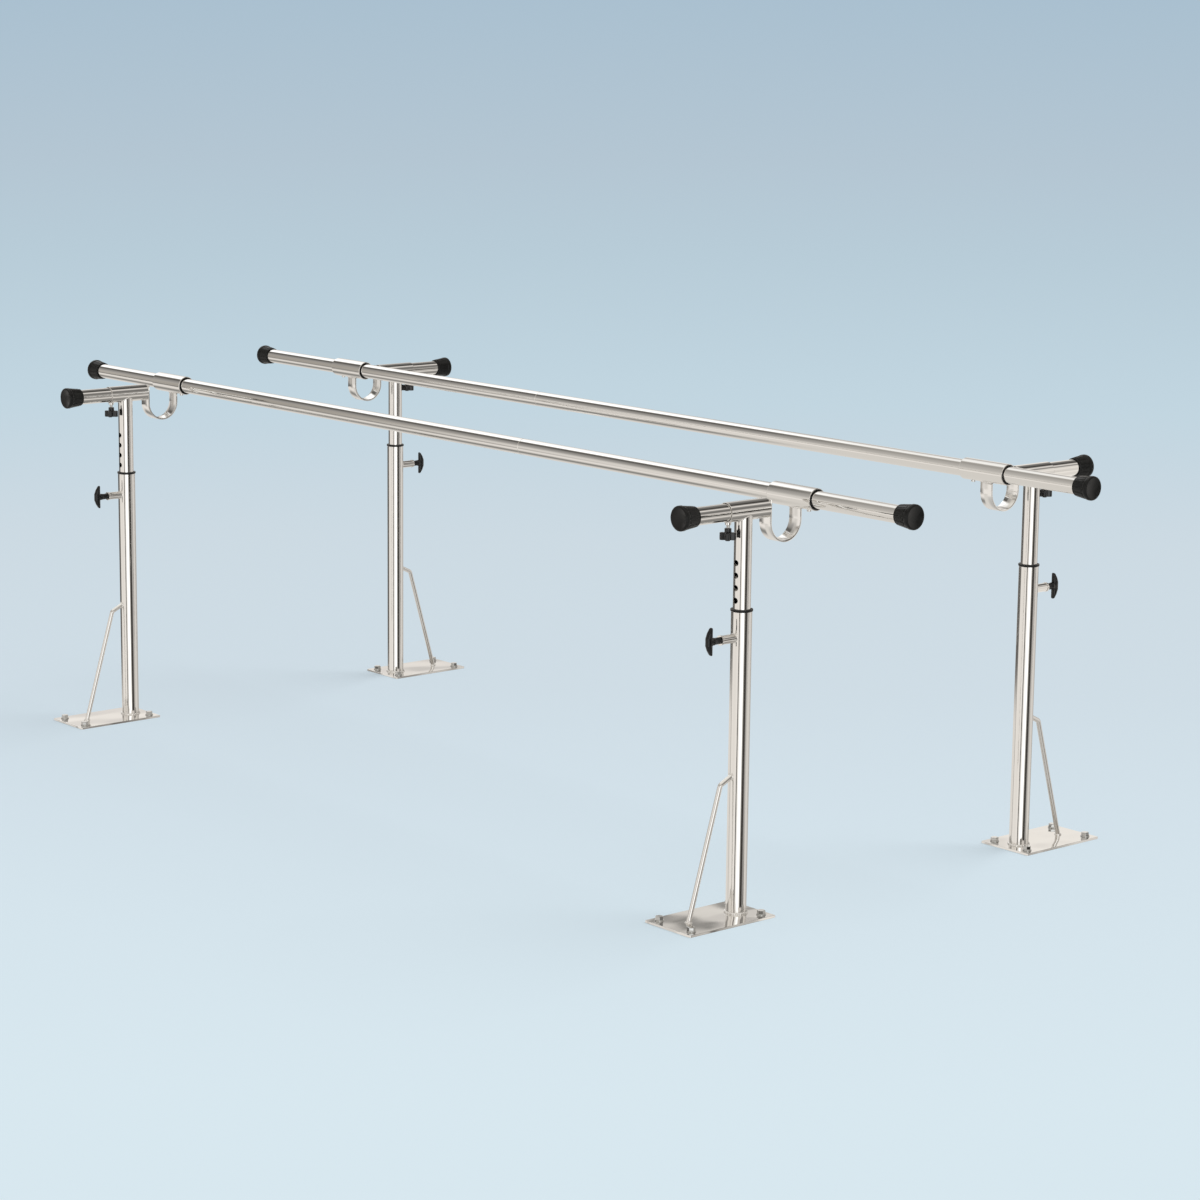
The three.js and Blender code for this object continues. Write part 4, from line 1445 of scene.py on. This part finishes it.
def knob_lobes():
    bm = bmesh.new()
    step = 2 * pi / KNOB_LOBES
    tip = KNOB_REACH - KNOB_TIP_RADIUS
    outline, valleys = [], []
    for lobe in range(KNOB_LOBES):
        angle = (lobe + 0.5) * step
        valley = angle - step / 2
        valleys.append(bm.verts.new((KNOB_VALLEY * cos(valley), KNOB_VALLEY * sin(valley), 0)))
        outline.append(valleys[-1])
        for arc in range(KNOB_ARC_STEPS + 1):
            turn = angle - pi / 2 + pi * arc / KNOB_ARC_STEPS
            x = tip * cos(angle) + KNOB_TIP_RADIUS * cos(turn)
            y = tip * sin(angle) + KNOB_TIP_RADIUS * sin(turn)
            outline.append(bm.verts.new((x, y, 0)))
    bm.faces.new(outline)
    bevelled(bm, valleys, KNOB_VALLEY_ROUNDING, 4, "VERTICES")
    top = drawn_face(bm, bm.faces[:][0])
    bmesh.ops.translate(bm, verts=top.verts, vec=(0, 0, KNOB_LOBE_HEIGHT))
    bmesh.ops.recalc_face_normals(bm, faces=bm.faces)
    rims = [e for e in bm.edges if e.calc_face_angle() > SQUARE_CORNER]
    bevelled(bm, rims, KNOB_RIM_ROUNDING, 4)
    return moved(bm, (0, 0, lobe_low))


hub = soften(rod(KNOB_HUB_RADIUS, lobe_top - KNOB_HUB_SINK, hub_top), KNOB_HUB_ROUNDING, 3)
knob = moved(together(knob_lobes(), hub), (0, KNOB_PLACE, 0))
on_each_stand("star_knob", knob, knob_plastic, "knob", "clamp_knob", slot="black_plastic",
              crease=radians(40))

# %% Clamp screw
SCREW_RADIUS = 4 * MM
THREAD_DEPTH = 0.6 * MM
THREAD_PITCH = 1.25 * MM
THREAD_STEPS = 24
THREAD_SEAM_REACH = 0.01 * MM
SCREW_IN_HUB = 3 * MM
SCREW_TIP_GAP = 0.3 * MM


def clamp_screw():
    bm = bmesh.new()
    start = hub_top - SCREW_IN_HUB
    end = arm_height - ARM_RADIUS - SCREW_TIP_GAP
    turns = int((end - start) / THREAD_PITCH) - 1
    root = SCREW_RADIUS - THREAD_DEPTH
    outline = ((root, 0, 0), (SCREW_RADIUS, 0, THREAD_PITCH / 2), (root, 0, THREAD_PITCH))
    points = [bm.verts.new(point) for point in outline]
    edges = [bm.edges.new(pair) for pair in zip(points, points[1:])]
    spun(bm, points + edges, 2 * pi * turns, turns * THREAD_STEPS, THREAD_PITCH / THREAD_STEPS)
    bmesh.ops.remove_doubles(bm, verts=bm.verts, dist=THREAD_SEAM_REACH)
    return moved(closed(bm), (0, KNOB_PLACE, start))


on_each_stand("clamp_screw", clamp_screw(), bolt_steel, "knob", crease=radians(35))

# %% [markdown]
# ## Welds
# A weld is a row of small overlapping ripples. Each bead here is a thin ring, or on the hook a
# straight bar, whose section swells and shrinks along it. Where a tube meets the side of another
# tube the ring is also bent into a saddle, so that it lies on the round surface all the way.

# %% Weld beads
RIPPLE = 0.10
STEPS_A_RIPPLE = 6
BEAD_SECTIONS = 10


def weld_ring(radius, bead, ripples, host=None):
    """A rippled ring round Z. With a host radius it lies on a tube that runs along Y."""
    bm = disc(bead, BEAD_SECTIONS, ON_EDGE, (radius, 0, 0))
    spun(bm, list(bm.verts) + list(bm.edges), 2 * pi, STEPS_A_RIPPLE * ripples, merge=True)
    for corner in bm.verts:
        turn = atan2(corner.co.y, corner.co.x)
        middle = Vector((radius * cos(turn), radius * sin(turn), 0))
        swell = 1 + RIPPLE * sin(ripples * turn)
        corner.co = middle + swell * (corner.co - middle)
        if host:
            corner.co.z += sqrt(host * host - middle.x * middle.x)
    bmesh.ops.recalc_face_normals(bm, faces=bm.faces)
    return bm


# %% Welds of the stand: radius of the ring, of the bead, ripples and radius of the tube below it
FOOT_BEAD = 2.9 * MM
SMALL_BEAD = 1.9 * MM
stand_welds = together(
    moved(weld_ring(POST_RADIUS + 0.4 * MM, FOOT_BEAD, 34), (0, 0, PLATE_THICKNESS + 0.9 * MM)),
    moved(weld_ring(BRACE_RADIUS + 0.6 * MM, SMALL_BEAD, 11, POST_RADIUS), ALONG_Y,
          (0, 0, BRACE_TOP)),
    moved(weld_ring(BRACE_RADIUS + 0.7 * MM, SMALL_BEAD, 11),
          (0, BRACE_FOOT.y, PLATE_THICKNESS + 0.5 * MM)),
    moved(weld_ring(HOUSING_RADIUS + 0.1 * MM, 1.1 * MM, 20, POST_RADIUS), ALONG_Y,
          (0, 0, plunger_height)),
)
on_each_stand("stand_welds", stand_welds, weld_steel, "stands", crease=pi)

# %% Welds of the mast and of the hook
UPSIDE_DOWN = Matrix.Rotation(pi, 4, "Y")
FILLET_BEAD = 1.8 * MM
FILLET_STEPS = 26
FILLET_RIPPLES = 8
FILLET_RIPPLE = 1.6 * RIPPLE
mast_welds = together(
    moved(weld_ring(MAST_RADIUS + 0.2 * MM, 1.3 * MM, 30, sleeve_radius), UPSIDE_DOWN,
          (0, 0, arm_height)),
    moved(weld_ring(BOSS_RADIUS + 0.1 * MM, 0.9 * MM, 14, sleeve_radius), UPSIDE_DOWN,
          (0, KNOB_PLACE, arm_height)),
)
on_each_stand("mast_welds", mast_welds, weld_steel, "upright", crease=pi)


def strap_fillet(side):
    """A straight bead along the top of the hook's far leg, under the rail sleeve."""
    bm = disc(FILLET_BEAD, BEAD_SECTIONS, ALONG_X, (-STRAP_WIDTH / 2, 0, 0))
    ring = list(bm.edges)
    for step in range(FILLET_STEPS):
        ring = drawn(bm, ring, Vector((STRAP_WIDTH / FILLET_STEPS, 0, 0)))
    closed(bm)
    for corner in bm.verts:
        turn = corner.co.x / STRAP_WIDTH * 2 * pi * FILLET_RIPPLES
        swell = 1 + FILLET_RIPPLE * sin(turn)
        corner.co.y *= swell
        corner.co.z *= swell
    drop = sqrt(rail_sleeve_radius ** 2 - (STRAP_THICKNESS / 2) ** 2)
    return moved(bm, (0, strap_far + side * STRAP_THICKNESS / 2, rail_height - drop))


on_each_stand("hook_welds", together(strap_fillet(-1), strap_fillet(1)), weld_steel, "arm",
              crease=pi)
